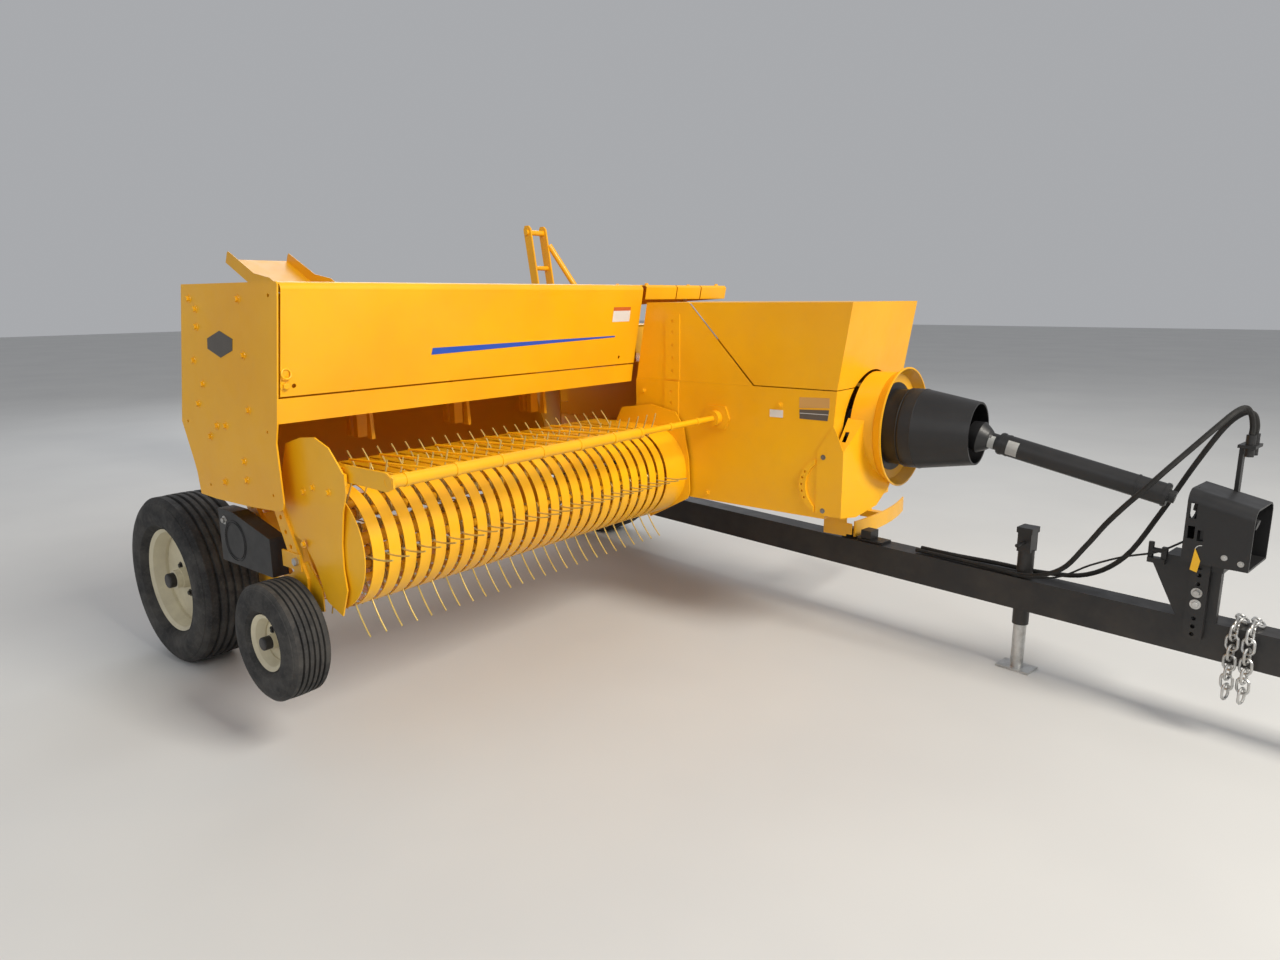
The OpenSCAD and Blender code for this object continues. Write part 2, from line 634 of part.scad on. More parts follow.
module housing_lid() place() color(paint) {
  y0 = -end_y + sheet + 5;
  difference() {
    union() {
      // roof
      block([roof_x0, y0, roof_z - 4], [roof_x1 - bend, -case_y + 15, roof_z]);
      // front sheet below the bend
      xz_plate([[roof_x1 - 3.8, roof_z - bend], [roof_x1, roof_z - bend], [seam_x + 2, lid_seam_z + 3],
                [seam_x - 2, lid_seam_z + 3]], y0, end_y - case_y - 16);
      // rounded bend between them
      translate([roof_x1 - bend, y0, roof_z - bend]) rotate([-90, 0, 0]) difference() {
        cylinder(r = bend, h = end_y - case_y - 16, $fn = 64);
        translate([0, 0, -1]) cylinder(r = bend - 4, h = end_y, $fn = 64);
        block([-bend - 1, -bend - 1, -1], [0, bend + 1, end_y]);
        block([-bend - 1, 0, -1], [bend + 1, bend + 1, end_y]);
      }
      // rear fold down to the hinge
      block([roof_x0 - 4, y0, roof_z - 26], [roof_x0, -case_y + 15, roof_z]);
    }
    // round holes near both lower corners
    for (y = [-1936, -420]) xbar(7, seam_x - 40, seam_x + 60, y, lid_seam_z + 34, 24);
  }
  // hinge barrels behind the roof's rear fold
  for (y = lid_hinge_y) difference() {
    ybar(8, y, y + 60, lid_hinge_x, lid_hinge_z, 32);
    ybar(5.05, y - 1, y + 61, lid_hinge_x, lid_hinge_z, 32);
  }
  // latch ring
  translate([seam_x + 20, -end_y + 26, lid_seam_z + 72]) rotate([0, 80, 0]) rotate_extrude($fn = 36)
    translate([15, 0]) circle(r = 3, $fn = 16);
}

// lugs and pins of the lid's hinge on the rear sheet
module lid_hinges() color(paint)
  for (y = lid_hinge_y) {
    for (e = [y - 9, y + 64])
      xz_plate([[543, 1450], [543, 1466], [538.5, 1471], [538.5, 1479], [536, 1482], [527, 1483], [525, 1478], [531, 1450]], e, 5);
    ybar(5, y - 5, y + 65, lid_hinge_x, lid_hinge_z, 32);
  }

module housing_cap() color(paint) {
  for (seg = [[-case_y + 24, -60], [-52, 130], [138, 346]])
    difference() {
      xz_plate([[roof_x0, roof_z - 95], [roof_x0, roof_z], [roof_x1 - 14, roof_z], [roof_x1 - 4, roof_z - 10],
                [roof_x1 - 14, roof_z - 62]], seg[0], seg[1] - seg[0]);
      xz_plate([[roof_x0 + 4, roof_z - 100], [roof_x0 + 4, roof_z - 4], [roof_x1 - 16, roof_z - 4],
                [roof_x1 - 8, roof_z - 10], [roof_x1 - 20, roof_z - 100]], seg[0] - (seg[1] > 300 ? 4 : 4), seg[1] - seg[0] + (seg[1] > 300 ? 0 : 8));
    }
  // posts down to the chamber roof
  for (x = [640, 980]) for (y = [-200, 200])
    block([x, y - 15, ceil_z + wall + seat], [x + 30, y + 15, roof_z - 4]);
  // ties between the segments
  for (x = [620, 990]) block([x, -case_y + 24, roof_z - 10], [x + 30, 346, roof_z - 4]);
}

module feeder_housing() place() {
  housing_sheets();
  lid_hinges();
  housing_cap();
}

end_pts = [
  [roof_x0, roof_z], [roof_x1 - 6, roof_z], [roof_x1, roof_z - 6], [foot_x1, strip_z], [1066, 1019], [1078, 830],
  [1070, 812], [1050, 802], [844, 790], [629, 785], [520, 788], [506, 873], [foot_x0, 1037]
];
module end_panel() place() color(paint) difference() {
  xz_plate(end_pts, -end_y, sheet);
  ybar(6, -end_y - 1, -end_y + sheet + 1, 1101, 1461, 24);
  for (p = [[480, 1040], [1020, 850], [1020, 1050], [600, 830]])
    ybar(5, -end_y - 1, -end_y + sheet + 1, p[0], p[1], 24);
}

module feeder_deck() place() color(paint) {
  // trough floor from the throat to the feed opening
  block([523.9, -end_y + sheet + seat, floor_z - wall], [860, -case_y - 4, floor_z]);
  // sheets that close the throat behind the reel
  xz_plate([[860 - wall, floor_z - wall], [860, floor_z - wall], [862, 872], [856, 872]], -end_y + sheet + seat, end_y - case_y - 14);
  // ribs under the floor to the beam
  for (y = [-1800, -1250, -700]) block([570, y, 700 + seat], [612, y + 30, floor_z - wall + 1]);
}

module feeder_forks() place() color(paint) {
  // rail with three forks that sweep the hay to the left
  block([800, -1780, roof_z - 140], [850, -380, roof_z - 100]);
  for (y = [-1560, -1120, -700]) {
    block([812, y, 960], [838, y + 40, roof_z - 130]);
    for (x = [760, 890]) xz_plate([[x - 10, 960], [x + 20, 960], [x + 12, 1060], [x - 2, 1060]], y + 10, 14);
    block([750, y + 8, 1055], [912, y + 30, 1085]);
  }
  block([roof_x0 + 120 + seat, -1500, roof_z - 128], [812, -1460, roof_z - 108]);
  block([roof_x0 + 120 + seat, -620, roof_z - 128], [812, -580, roof_z - 108]);
}

module side_box() place() color(black) difference() {
  xz_plate([[600, 560], [938, 560], [938, 690], [700, 745], [600, 745]], -end_y + 14, 56);
  xz_plate([[605, 550], [933, 550], [933, 686], [700, 740], [605, 740]], -end_y + 20, 190);
}

// Knotters and the left side

module knotter_stack() place() color(paint) {
  for (y = [-112, 68]) {
    xz_plate([[300, ceil_z + wall + seat], [420, ceil_z + wall + seat], [440, ceil_z + 170], [380, ceil_z + 230], [310, ceil_z + 200]], y, 44);
    ybar(78, y + 12, y + 32, 375, ceil_z + 150);
  }
  ybar(18, -240, 300, 375, ceil_z + 150);
  ybar(60, 280, 300, 375, ceil_z + 150);
  block([340, -240, ceil_z + wall + seat], [410, -228, ceil_z + 190]);
  block([340, 214, ceil_z + wall + seat], [410, 226, ceil_z + 190]);
  // arm and pin of the length wheel
  xz_plate([[105, meter_z - 16], [330, meter_z + 4], [330, meter_z + 36], [105, meter_z + 16]], meter_y - 29, 14);
  ybar(10.95, meter_y - 16, meter_y + 12, meter_x, meter_z);
  ybar(17, meter_y + 6, meter_y + 12, meter_x, meter_z);
}

module needle_yoke() place() color(paint) {
  ybar(20, -300, 300, 350, 700);
  for (s = [-1, 1]) xz_plate([[335, 680], [365, 680], [420, 1040], [400, 1045]], s > 0 ? 290 : -300, 10);
  // stub pins to the chamber's sides
  for (s = [-1, 1]) ybar(12, s > 0 ? out_w + seat : -291, s > 0 ? 291 : -out_w - seat, 406, 1020, 32);
  for (y = [-97, 83])
    xz_plate([[330, 700], [352, 690], [520, 730], [545, 775], [530, 780], [505, 748]], y, 14);
}

module density_mast() place() color(paint) {
  for (y = [-60, 50])
    xz_plate([[250, ceil_z + wall + seat], [310, ceil_z + wall + seat], [245, 1560], [205, 1800], [190, 1815], [165, 1815], [155, 1795], [200, 1540]], y, 10);
  ybar(14, -72, 72, 183, 1780, 32);
  ybar(12, -60, 60, 210, 1600, 32);
  rod([215, 66, 1720], [375, 220, ceil_z + 208], 15);
  block([350, 204, ceil_z + 190 + seat], [400, 236, ceil_z + 214]);
}

module twine_box() place() color(paint) {
  difference() {
    block([-92, 380, 760], [528, 640, 1290]);
    block([-88, 384, 764], [524, 636, 1300]);
  }
  // brackets to the chamber's side rails
  for (x = [60, 200]) for (z = [floor_z + 20, ceil_z - 56])
    block([x, out_w + 38 + 2 * seat, z], [x + 50, 381, z + 36]);
  // lugs and pins of the lid's hinge
  for (x = twine_hinge) {
    for (e = [x - 38, x + 33])
      yz_plate([[381, 1262], [381, 1288], [366, 1288], [366, 1306], [355, 1306], [355, 1282], [366, 1262]], e, 5);
    xbar(5, x - 34, x + 34, twine_hinge_y, twine_hinge_z, 32);
  }
}
module twine_lid() place() color(paint) {
  block([-96, 372, 1290 + 5], [532, 648, 1299]);
  for (x = twine_hinge) difference() {
    union() {
      xbar(9, x - 30, x + 30, twine_hinge_y, twine_hinge_z, 32);
      block([x - 30, twine_hinge_y, 1295], [x + 30, 373, 1299]);
    }
    xbar(5.05, x - 31, x + 31, twine_hinge_y, twine_hinge_z, 32);
  }
}

// Tongue and what it carries

module tongue() place() color(black) on_tongue() {
  difference() {
    block([0, -tongue_w / 2, tongue_z0], [tongue_l, tongue_w / 2, tongue_z0 + tongue_h]);
    block([8, -tongue_w / 2 + 6, tongue_z0 + 6], [tongue_l - 8, tongue_w / 2 - 6, tongue_z0 + tongue_h - 6]);
    translate([0, 0, tongue_z0 - 1]) cylinder(r = 26, h = tongue_h + 2, $fn = 48);
    translate([jack_s, 0, tongue_z0 - 1]) cylinder(r = 30.3, h = tongue_h + 2, $fn = 48);
  }
  // sleeve at the pivot
  difference() {
    translate([0, 0, tongue_z0 - 10]) cylinder(r = 62, h = tongue_h + 20, $fn = 64);
    translate([0, 0, tongue_z0 - 11]) cylinder(r = 26, h = tongue_h + 22, $fn = 64);
  }
  // block and lever of the latch that holds the tongue to the arc
  block([arc_r - 60, -30, tongue_z0 + tongue_h - 1], [arc_r - 16, 30, arc_z + 30]);
  block([arc_r + 30, -38, tongue_z0 + tongue_h - 1], [arc_r + 150, 38, tongue_z0 + tongue_h + 10]);
  block([arc_r + 40, -30, tongue_z0 + tongue_h + 9], [arc_r + 90, 30, arc_z + 40]);
  // clevis of two ears with the hitch pin bore
  difference() {
    union() {
      for (z = [tongue_z0 + 10, tongue_z0 + tongue_h - 35]) {
        block([tongue_l - 60, -45, z], [hitch_s, 45, z + 25]);
        translate([hitch_s, 0, z]) cylinder(r = 45, h = 25, $fn = 64);
      }
    }
    translate([hitch_s, 0, tongue_z0 - 1]) cylinder(r = hitch_pin_d / 2, h = tongue_h + 2, $fn = 48);
  }
}

module jack_sleeve() place() on_tongue() translate([jack_s, 0, 0]) {
  color(black) difference() {
    translate([0, 0, 187]) cylinder(r = 30, h = 300, $fn = 48);
    translate([0, 0, 180]) cylinder(r = 24.05, h = 300, $fn = 48);
  }
  color(black) block([-26, -30, 482], [26, 30, 560]);
  color(zinc) block([-30, -34, 556], [30, 34, 578]);
  color(zinc) ybar(7, -92, -28, 0, 520, 24);
}

module jack_leg() place() on_tongue() translate([jack_s, 0, 0]) color(zinc) {
  difference() {
    translate([0, 0, 8]) cylinder(r = 24, h = 300, $fn = 48);
    translate([0, 0, 20]) cylinder(r = 20, h = 300, $fn = 48);
  }
  block([-65, -45, 0], [65, 45, 8.5]);
}

// cross section of the shield over the drive line's front bearing, w = half width
module shield_bar(w, x0, x1, r) {
  block([x0, -w, -420], [x1, w, -r]);
  block([x0, -w + r, -r - 1], [x1, w - r, 0]);
  for (y = [-w + r, w - r]) xbar(r, x0, x1, y, -r, 48);
}
module support_shield() difference() {
  intersection() {
    block([stand_s + 17, -120, 589], [stand_s + 205, 120, 900]);
    translate([stand_s + 17, 0, shield_z]) rotate([0, drive_dip, 0]) shield_bar(110, -90, 260, 40);
  }
  intersection() {
    block([stand_s + 23, -120, 596], [stand_s + 206, 120, 900]);
    translate([stand_s + 17, 0, shield_z - 6]) rotate([0, drive_dip, 0]) shield_bar(104, -90, 260, 34);
  }
  xbar(52, stand_s - 20, stand_s + 30, support_t, support_z, 48);
  // slots in the right side
  block([stand_s + 27, -120, 735], [stand_s + 47, -100, 785]);
  block([stand_s + 27, -120, 668], [stand_s + 47, -100, 710]);
  block([stand_s + 55, -120, 664], [stand_s + 73, -100, 700]);
}

module support_stand() on_tongue() {
  s = stand_s;
  color(black) {
    // gusset on the tongue's right side with its row of holes
    difference() {
      union() {
        xz_plate([[s - 80, 560], [s + 95, 560], [s + 95, 330], [s + 30, 330], [s + 8, 388]], -tongue_w / 2 - 12, 11.7);
        xz_plate([[s + 38, 318], [s + 95, 318], [s + 95, 590], [s + 38, 590]], -tongue_w / 2 - 20, 8.5);
      }
      for (z = [335, 362, 390, 510, 540, 566]) ybar(7, -90, -20, s + 66, z, 24);
    }
    // leg beside it and the plate on the tongue's left side
    block([s + 94, -tongue_w / 2, tongue_z0 + tongue_h + seat], [s + 124, -tongue_w / 2 + 30, 590]);
    xz_plate([[s - 30, 575], [s + 95, 575], [s + 95, tongue_z0 + tongue_h + seat], [s, tongue_z0 + tongue_h + seat]], tongue_w / 2 - 12, 11.7);
    block([s - 40, -tongue_w / 2 - 12, 558], [s + 130, tongue_w / 2, 590]);
    support_shield();
    // bearing block of the drive line
    block([s + 60, support_t - 50, 588], [s + 110, support_t + 50, support_z + 20]);
  }
  // shaft through the bearing and its stub to the tractor
  color(zinc) translate([s, support_t, support_z]) rotate([0, drive_dip, 0]) {
    xbar(21, 26, 120, 0, 0, 48);
    xbar(17.5, 119, 205, 0, 0, 48);
  }
  // pin with an upright head beside the gusset's top
  color(zinc) translate([s - 84, -tongue_w / 2 - 16, 562]) cylinder(r = 9, h = 62, $fn = 32);
  color(zinc) xbar(8, s - 84, s - 36, -tongue_w / 2 - 16, 598, 32);
  color(black) block([s - 90, -tongue_w / 2 - 30, 555], [s - 36, -tongue_w / 2 - 2, 572]);
  color(black) block([s - 50, -tongue_w / 2 - 26, 571], [s - 34, -tongue_w / 2 - 6, 612]);
}

module hose_holder() on_tongue() {
  s = stand_s;
  color(black) block([s + 100, 60, 795], [s + 112, 90, 968]);
  color(black) block([s + 100, 30, 958], [s + 150, 120, 968]);
  // upright couplers that the hoses end in
  color(zinc) for (y = [50, 98]) translate([s + 130, y, 930]) cylinder(r = 14, h = 71, $fn = 32);
}

module pto_support() place() {
  support_stand();
  hose_holder();
}

hose_a = [[1760, -22, 393], [1900, -22, 393], [2080, -30, 394], [2240, -48, 400], [2380, -104, 468], [2478, -166, 588],
          [2550, -212, 690], [2610, -232, 768], [2658, -230, 828], [2710, -200, 900], [2756, -150, 966],
          [2805, -95, 1036], [2836, -46, 1080], [2853, 0, 1092], [2862, 36, 1070], [2868, 50, 1030], [2868, 50, 1001.7]];
hose_b = [[1760, 22, 393], [1900, 22, 393], [2080, 42, 393], [2260, 44, 396], [2420, 46, 425], [2540, 50, 520],
          [2630, 60, 690], [2710, 76, 870], [2780, 92, 1010], [2826, 100, 1062], [2856, 100, 1062], [2868, 98, 1030],
          [2868, 98, 1001.7]];
function spline(p, i, t) =
  let (a = p[max(i - 1, 0)], b = p[i], c = p[i + 1], d = p[min(i + 2, len(p) - 1)])
  0.5 * (2 * b + t * (c - a) + t * t * (2 * a - 5 * b + 4 * c - d) + t * t * t * (3 * b - a - 3 * c + d));
function route(p, n) = [for (i = [0 : len(p) - 2]) for (k = [0 : n - 1]) spline(p, i, k / n), p[len(p) - 1]];
module sweep(q, r, n) {
  m = len(q);
  pts = [for (i = [0 : m - 1])
    let (d = q[min(i + 1, m - 1)] - q[max(i - 1, 0)], t = d / norm(d), u = cross(t, [0, 1, 0]), v = u / norm(u), w = cross(t, v))
    for (k = [0 : n - 1]) q[i] + r * (cos(360 * k / n) * v + sin(360 * k / n) * w)];
  faces = concat([[for (k = [n - 1 : -1 : 0]) k]],
    [for (i = [0 : m - 2]) for (k = [0 : n - 1])
      [i * n + k, i * n + (k + 1) % n, (i + 1) * n + (k + 1) % n, (i + 1) * n + k]],
    [[for (k = [0 : n - 1]) (m - 1) * n + k]]);
  polyhedron(points = pts, faces = faces);
}
module hoses() place() color(rubber) on_tongue() {
  sweep(route(hose_a, 5), 9, 8);
  sweep(route(hose_b, 5), 9, 8);
}

// an upright chain link, its centre at the origin
module link(l, w, r) {
  for (s = [-1, 1]) {
    translate([0, s * w, -l]) cylinder(r = r, h = 2 * l, $fn = 16);
    translate([0, 0, s * l]) rotate([0, 0, 90]) rotate([s * 90, 0, 0]) rotate_extrude(angle = 180, $fn = 32)
      translate([w, 0]) circle(r = r, $fn = 16);
  }
}
module safety_chain() place() color(zinc) on_tongue() {
  s = stand_s + 150;
  for (i = [0 : 7]) translate([s, -tongue_w / 2 - 14 - seat, tongue_z0 + tongue_h - 6 - i * 28.3])
    rotate([0, 0, i % 2 == 0 ? 0 : 90]) link(9, 9.5, 4.5);
}

// Pickup

plate_pts = [
  [960, 820], [1038, 1011], [1125, 1037], [1205, 1045], [1277, 1021], [1322, 976], [1350, 946], [1353, 892],
  [1330, 833], [1312, 733], [1310, 653], [1320, 588], [1285, 500], [1205, 530], [1150, 640], [1100, 700], [960, 740]
];
plate_pts_l = [
  [960, 820], [1038, 960], [1205, 985], [1340, 960], [1383, 901], [1412, 760], [1419, 616], [1407, 584],
  [1201, 472], [1130, 560], [1080, 680], [960, 740]
];
module pickup_frame() place() color(paint) {
  xz_plate(plate_pts, plate_y0, sheet);
  xz_plate(plate_pts_l, plate_y1 - sheet, sheet);
  // cross tube behind the reel and the two lift arms
  ybar(cross_r, plate_y0 + 1, plate_y1 - 1, tube_x, cross_z);
  for (y = [plate_y0, plate_y1 - sheet])
    xz_plate([[tube_x - 6, cross_z - 38], [1180, 490], [1180, 560], [1100, 640], [tube_x - 26, cross_z + 34], [tube_x - 38, cross_z]], y, sheet);
  for (y = lift_y) difference() {
    union() {
      ybar(30, y, y + 16, lift_x, lift_z);
      xz_plate([[lift_x + 18, lift_z + 18], [lift_x - 18, lift_z - 18], [tube_x - 18, cross_z - 18], [tube_x + 6, cross_z + 6]], y, 16);
    }
    ybar(14.05, y - 1, y + 17, lift_x, lift_z);
  }
  // stub pins of the reel's shaft
  ybar(pin_r - 0.05, plate_y0 + 1, reel_y0 + 26, reel_x, reel_z);
  ybar(pin_r - 0.05, reel_y1 - 26, plate_y1 - 1, reel_x, reel_z);
  // stop plate of the wind guard's end on the right side
  xz_plate([[1300, 915], [1352, 915], [1352, 950], [1300, 960]], plate_y0, 9);
  // arm with a row of holes that carries the gauge wheel
  difference() {
    union() {
      xz_plate([[935, 800], [985, 812], [1110, 585], [1098, 430], [1092, 365], [1032, 365], [1036, 430], [1046, 575]], plate_y0 - 8, 8.5);
      xz_plate([[975, 660], [1085, 660], [1085, 605], [975, 605]], plate_y0 - 12, 6);
    }
    for (t = [0.15, 0.35, 0.55, 0.75]) ybar(8, plate_y0 - 14, plate_y0 - seat, 962 + 118 * t, 800 - 225 * t, 24);
  }
  ybar(12.5, gauge_y - 60, plate_y0 - 1, gauge_x, gauge_z);
}

module stripper_bands() place() color(paint) {
  // bands between the tines: front half ring, then a flat strip back to the deck
  for (i = [0 : tine_gaps - 2]) {
    y = gap_y0 + i * band_pitch + (band_pitch - band_w) / 2;
    translate([reel_x, y + band_w, reel_z]) rotate([90, 0, 0])
      rotate([0, 0, -90]) rotate_extrude(angle = 180, $fn = 96) translate([band_r - band_t, 0]) square([band_t, band_w]);
    block([deck_x, y, reel_z + band_r - band_t], [reel_x + 0.5, y + band_w, reel_z + band_r]);
    block([tube_x - 10, y, reel_z - band_r], [reel_x + 0.5, y + band_w, reel_z - band_r + band_t]);
  }
  // flared skirt at the right end and wide skirt at the left end
  translate([reel_x, plate_y0 + sheet + 0.3, reel_z]) rotate([-90, 0, 0]) rotate([0, 0, -90])
    rotate_extrude(angle = 180, $fn = 96) polygon([[60, 0], [60, 3], [band_r - 4, flare], [band_r, flare], [band_r, flare - 3]]);
  translate([reel_x, plate_y1 - sheet - seat, reel_z]) rotate([90, 0, 0]) rotate([0, 0, -90])
    rotate_extrude(angle = 180, $fn = 96) translate([band_r - band_t, 0]) square([band_t, 138]);
  block([tube_x - 10, plate_y1 - sheet - seat - 138, reel_z - band_r], [reel_x + 0.5, plate_y1 - sheet - seat, reel_z - band_r + band_t]);
  block([deck_x, plate_y1 - sheet - seat - 138, reel_z + band_r - band_t], [reel_x + 0.5, plate_y1 - sheet - seat, reel_z + band_r]);
  // angles that carry the rear ends of the upper and the lower strips
  block([deck_x - 20, plate_y0 + sheet + seat, reel_z + band_r - 30], [deck_x + 4, plate_y1 - sheet - seat, reel_z + band_r - band_t]);
  block([tube_x - 14, plate_y0 + sheet + seat, reel_z - band_r + band_t - 0.5], [tube_x + 10, plate_y1 - sheet - seat, reel_z - band_r + 9]);
}

module pickup_reel() place() {
  // shaft and discs, bored at both ends for the frame's stub pins
  color(bare) difference() {
    union() {
      ybar(22, reel_y0, reel_y1, reel_x, reel_z);
      for (y = [reel_y0 + 12, -1130, reel_y1 - 18]) ybar(bar_r + 22, y, y + 6, reel_x, reel_z, 72);
    }
    ybar(pin_r, reel_y0 - 1, reel_y0 + 32, reel_x, reel_z);
    ybar(pin_r, reel_y1 - 32, reel_y1 + 1, reel_x, reel_z);
  }
  for (b = [0 : tine_bars - 1]) translate([reel_x, 0, reel_z]) rotate([0, -b * 360 / tine_bars, 0]) {
    color(paint) ybar(14, reel_y0 + 12, reel_y1 - 12, bar_r, 0, 32);
    color(zinc) for (i = [0 : tine_gaps - 1])
      translate([bar_r, gap_y0 + i * tine_pitch, 0]) rotate([0, 90, 0]) cylinder(r = 3.2, h = tip_r - bar_r, $fn = 16);
  }
}

module wind_guard() place() color(paint) {
  difference() {
    ybar(19, plate_y0 + 14, -820, guard_x, guard_z);
    ybar(15, plate_y0 + 13, plate_y0 + 60, guard_x, guard_z);
  }
  ybar(12, -821, -case_y - 12, guard_x, guard_z);
  // bracket back to the pickup's right side plate
  xz_plate([[1320, 925], [1330, 975], [guard_x - 10, 975], [guard_x + 24, 962], [guard_x + 24, 935], [guard_x - 10, 920]], plate_y0 + 15, 6);
  // rods over the bands
  for (i = [0 : 9]) {
    y = gap_y0 + tine_pitch * (2 * i + 0.5);
    rod([guard_x, y, guard_z + 12], [1098, y, guard_z - 10], 4, 16);
  }
}

// Length wheel and chute

module metering_wheel() place() color(bare) translate([meter_x, meter_y, meter_z]) rotate([90, 0, 0]) {
  difference() {
    cylinder(r = 82, h = 8, $fn = 48);
    translate([0, 0, -1]) cylinder(r = 11, h = 10, $fn = 32);
  }
  for (a = [0 : 30 : 330]) rotate([0, 0, a]) linear_extrude(8) polygon([[76, -12], [112, 0], [76, 12]]);
}

module bale_chute() place() color(paint) translate([chute_x0, 0, chute_z0]) rotate([0, chute_tilt, 0]) {
  block([-chute_l, -232, -4], [-20, 232, 0]);
  for (s = [-1, 1]) {
    xz_plate([[-chute_l, -4], [-20, -4], [-20, 30], [-46, 90], [-500, 130], [-chute_l + 580, 130], [-chute_l + 380, 70], [-chute_l + 10, 66], [-chute_l, 50]],
             s > 0 ? 228 : -232, 4);
    block([-chute_l, s > 0 ? 210 : -232, -24], [-20, s > 0 ? 232 : -210, -4]);
  }
  for (x = [-chute_l + 90, -chute_l / 2 - 40, -80]) block([x, -232, -24], [x + 40, 232, -3]);
  ybar(10, -out_w - ear_gap - 14, out_w + ear_gap + 14, 0, 0);
  for (y = [-200, 0, 200]) block([-30, y - 20, -6], [0, y + 20, 3]);
}

module chute_chains() place() color(zinc) {
  a = [chute_x0 - 1300 * cos(chute_tilt), 0, chute_z0 + 1300 * sin(chute_tilt) + 110];
  for (s = [-1, 1]) rod([a[0], s * 237.5, a[2]], [-500, s * 285, ceil_z + 135 + seat], 5, 16);
}

bale_chamber();
tension_frame();
main_axle();
front_case();
tongue_arc();
case_panel_right();
plunger_drive();
hood_rear();
chamber_hood();
feeder_housing();
housing_lid();
end_panel();
feeder_deck();
feeder_forks();
side_box();
knotter_stack();
needle_yoke();
density_mast();
twine_box();
twine_lid();
flywheel();
flywheel_guard();
pto_bell();
pto_tube_rear();
pto_tube_front();
tongue();
jack_sleeve();
jack_leg();
pto_support();
hoses();
safety_chain();
tyre_right();
rim_right();
tyre_left();
rim_left();
pickup_frame();
stripper_bands();
pickup_reel();
wind_guard();
gauge_tyre();
gauge_rim();
metering_wheel();
bale_chute();
chute_chains();
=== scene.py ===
import json
import math
import bmesh
import bpy
from mathutils import Matrix, Vector


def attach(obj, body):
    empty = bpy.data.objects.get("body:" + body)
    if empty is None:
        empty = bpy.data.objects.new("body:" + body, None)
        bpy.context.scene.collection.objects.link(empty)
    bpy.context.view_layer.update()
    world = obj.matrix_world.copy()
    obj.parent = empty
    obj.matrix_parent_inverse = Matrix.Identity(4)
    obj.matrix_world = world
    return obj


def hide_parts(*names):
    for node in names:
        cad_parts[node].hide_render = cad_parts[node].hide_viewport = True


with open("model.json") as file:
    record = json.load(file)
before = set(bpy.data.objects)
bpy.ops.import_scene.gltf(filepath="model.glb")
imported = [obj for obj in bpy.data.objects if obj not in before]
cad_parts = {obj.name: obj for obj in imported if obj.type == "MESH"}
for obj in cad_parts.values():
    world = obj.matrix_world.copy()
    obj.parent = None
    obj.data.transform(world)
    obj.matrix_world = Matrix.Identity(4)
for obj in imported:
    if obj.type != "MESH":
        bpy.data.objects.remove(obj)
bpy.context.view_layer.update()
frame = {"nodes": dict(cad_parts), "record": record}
nodes = frame["nodes"]

# Places are the source's own: millimetres from the axle and the chamber's centre line.
SHIFT = Vector((-0.672, 0.639, 0.0))
TONGUE_TURN = math.radians(-8.5)
TONGUE_PIVOT = (520, 438)
SHAFT_HEIGHT = 935
CEILING = 1156


def at(x, y, z):
    """A place in the source's millimetres, in the part's metres."""
    return Vector((x / 1000, y / 1000, z / 1000)) + SHIFT


RIGHT_WHEEL = at(0, -1830, 343)
LEFT_WHEEL = at(0, 700, 343)
GAUGE_WHEEL = at(1062, -2029, 400)
DRIVE_START = at(2480, 0, SHAFT_HEIGHT)
DRIVE_END = at(3222, -12, 775)


# Camera

def photo_camera():
    """The photograph's place: in front of the right side, a little above the roof."""
    data = bpy.data.cameras.new("photo_camera")
    data.lens = 24.23
    data.sensor_width = 36
    data.clip_end = 200
    camera = bpy.data.objects.new("photo_camera", data)
    bpy.context.scene.collection.objects.link(camera)
    heading, dip = math.radians(129.1), math.radians(-12.0)
    ahead = Vector((math.cos(heading) * math.cos(dip), math.sin(heading) * math.cos(dip), math.sin(dip)))
    turn = ahead.to_track_quat("-Z", "Y").to_matrix().to_4x4()
    roll = Matrix.Rotation(math.radians(-0.4), 4, "Z")
    camera.matrix_world = Matrix.Translation(at(3562.8, -3303.6, 1449.1)) @ turn @ roll
    bpy.context.scene.camera = camera


photo_camera()


# Finishes

def finish_tree(name):
    """A new material with its shader, and its place coordinates in metres."""
    material = bpy.data.materials.new(name)
    material.use_nodes = True
    tree = material.node_tree
    shader = tree.nodes["Principled BSDF"]
    place = tree.nodes.new("ShaderNodeTexCoord").outputs["Object"]
    return material, tree, shader, place


def noise(tree, place, scale, detail=4.0, rough=0.55):
    node = tree.nodes.new("ShaderNodeTexNoise")
    node.inputs["Scale"].default_value = scale
    node.inputs["Detail"].default_value = detail
    node.inputs["Roughness"].default_value = rough
    tree.links.new(place, node.inputs["Vector"])
    return node.outputs["Fac"]


def mix(tree, factor, a, b):
    """Colour a where factor is 0 and b where it is 1."""
    node = tree.nodes.new("ShaderNodeMix")
    node.data_type = "RGBA"
    for socket, value in ((node.inputs[0], factor), (node.inputs[6], a), (node.inputs[7], b)):
        if isinstance(value, bpy.types.NodeSocket):
            tree.links.new(value, socket)
        elif isinstance(value, (int, float)):
            socket.default_value = value
        else:
            socket.default_value = (*value, 1.0)
    return node.outputs[2]


def level(tree, value, low, high, out_low=0.0, out_high=1.0):
    """Stretches a value from low..high to out_low..out_high."""
    node = tree.nodes.new("ShaderNodeMapRange")
    for name, number in (("From Min", low), ("From Max", high), ("To Min", out_low), ("To Max", out_high)):
        node.inputs[name].default_value = number
    tree.links.new(value, node.inputs["Value"])
    return node.outputs["Result"]


def times(tree, a, b):
    node = tree.nodes.new("ShaderNodeMath")
    node.operation = "MULTIPLY"
    for socket, value in zip(node.inputs, (a, b)):
        if isinstance(value, bpy.types.NodeSocket):
            tree.links.new(value, socket)
        else:
            socket.default_value = value
    return node.outputs[0]


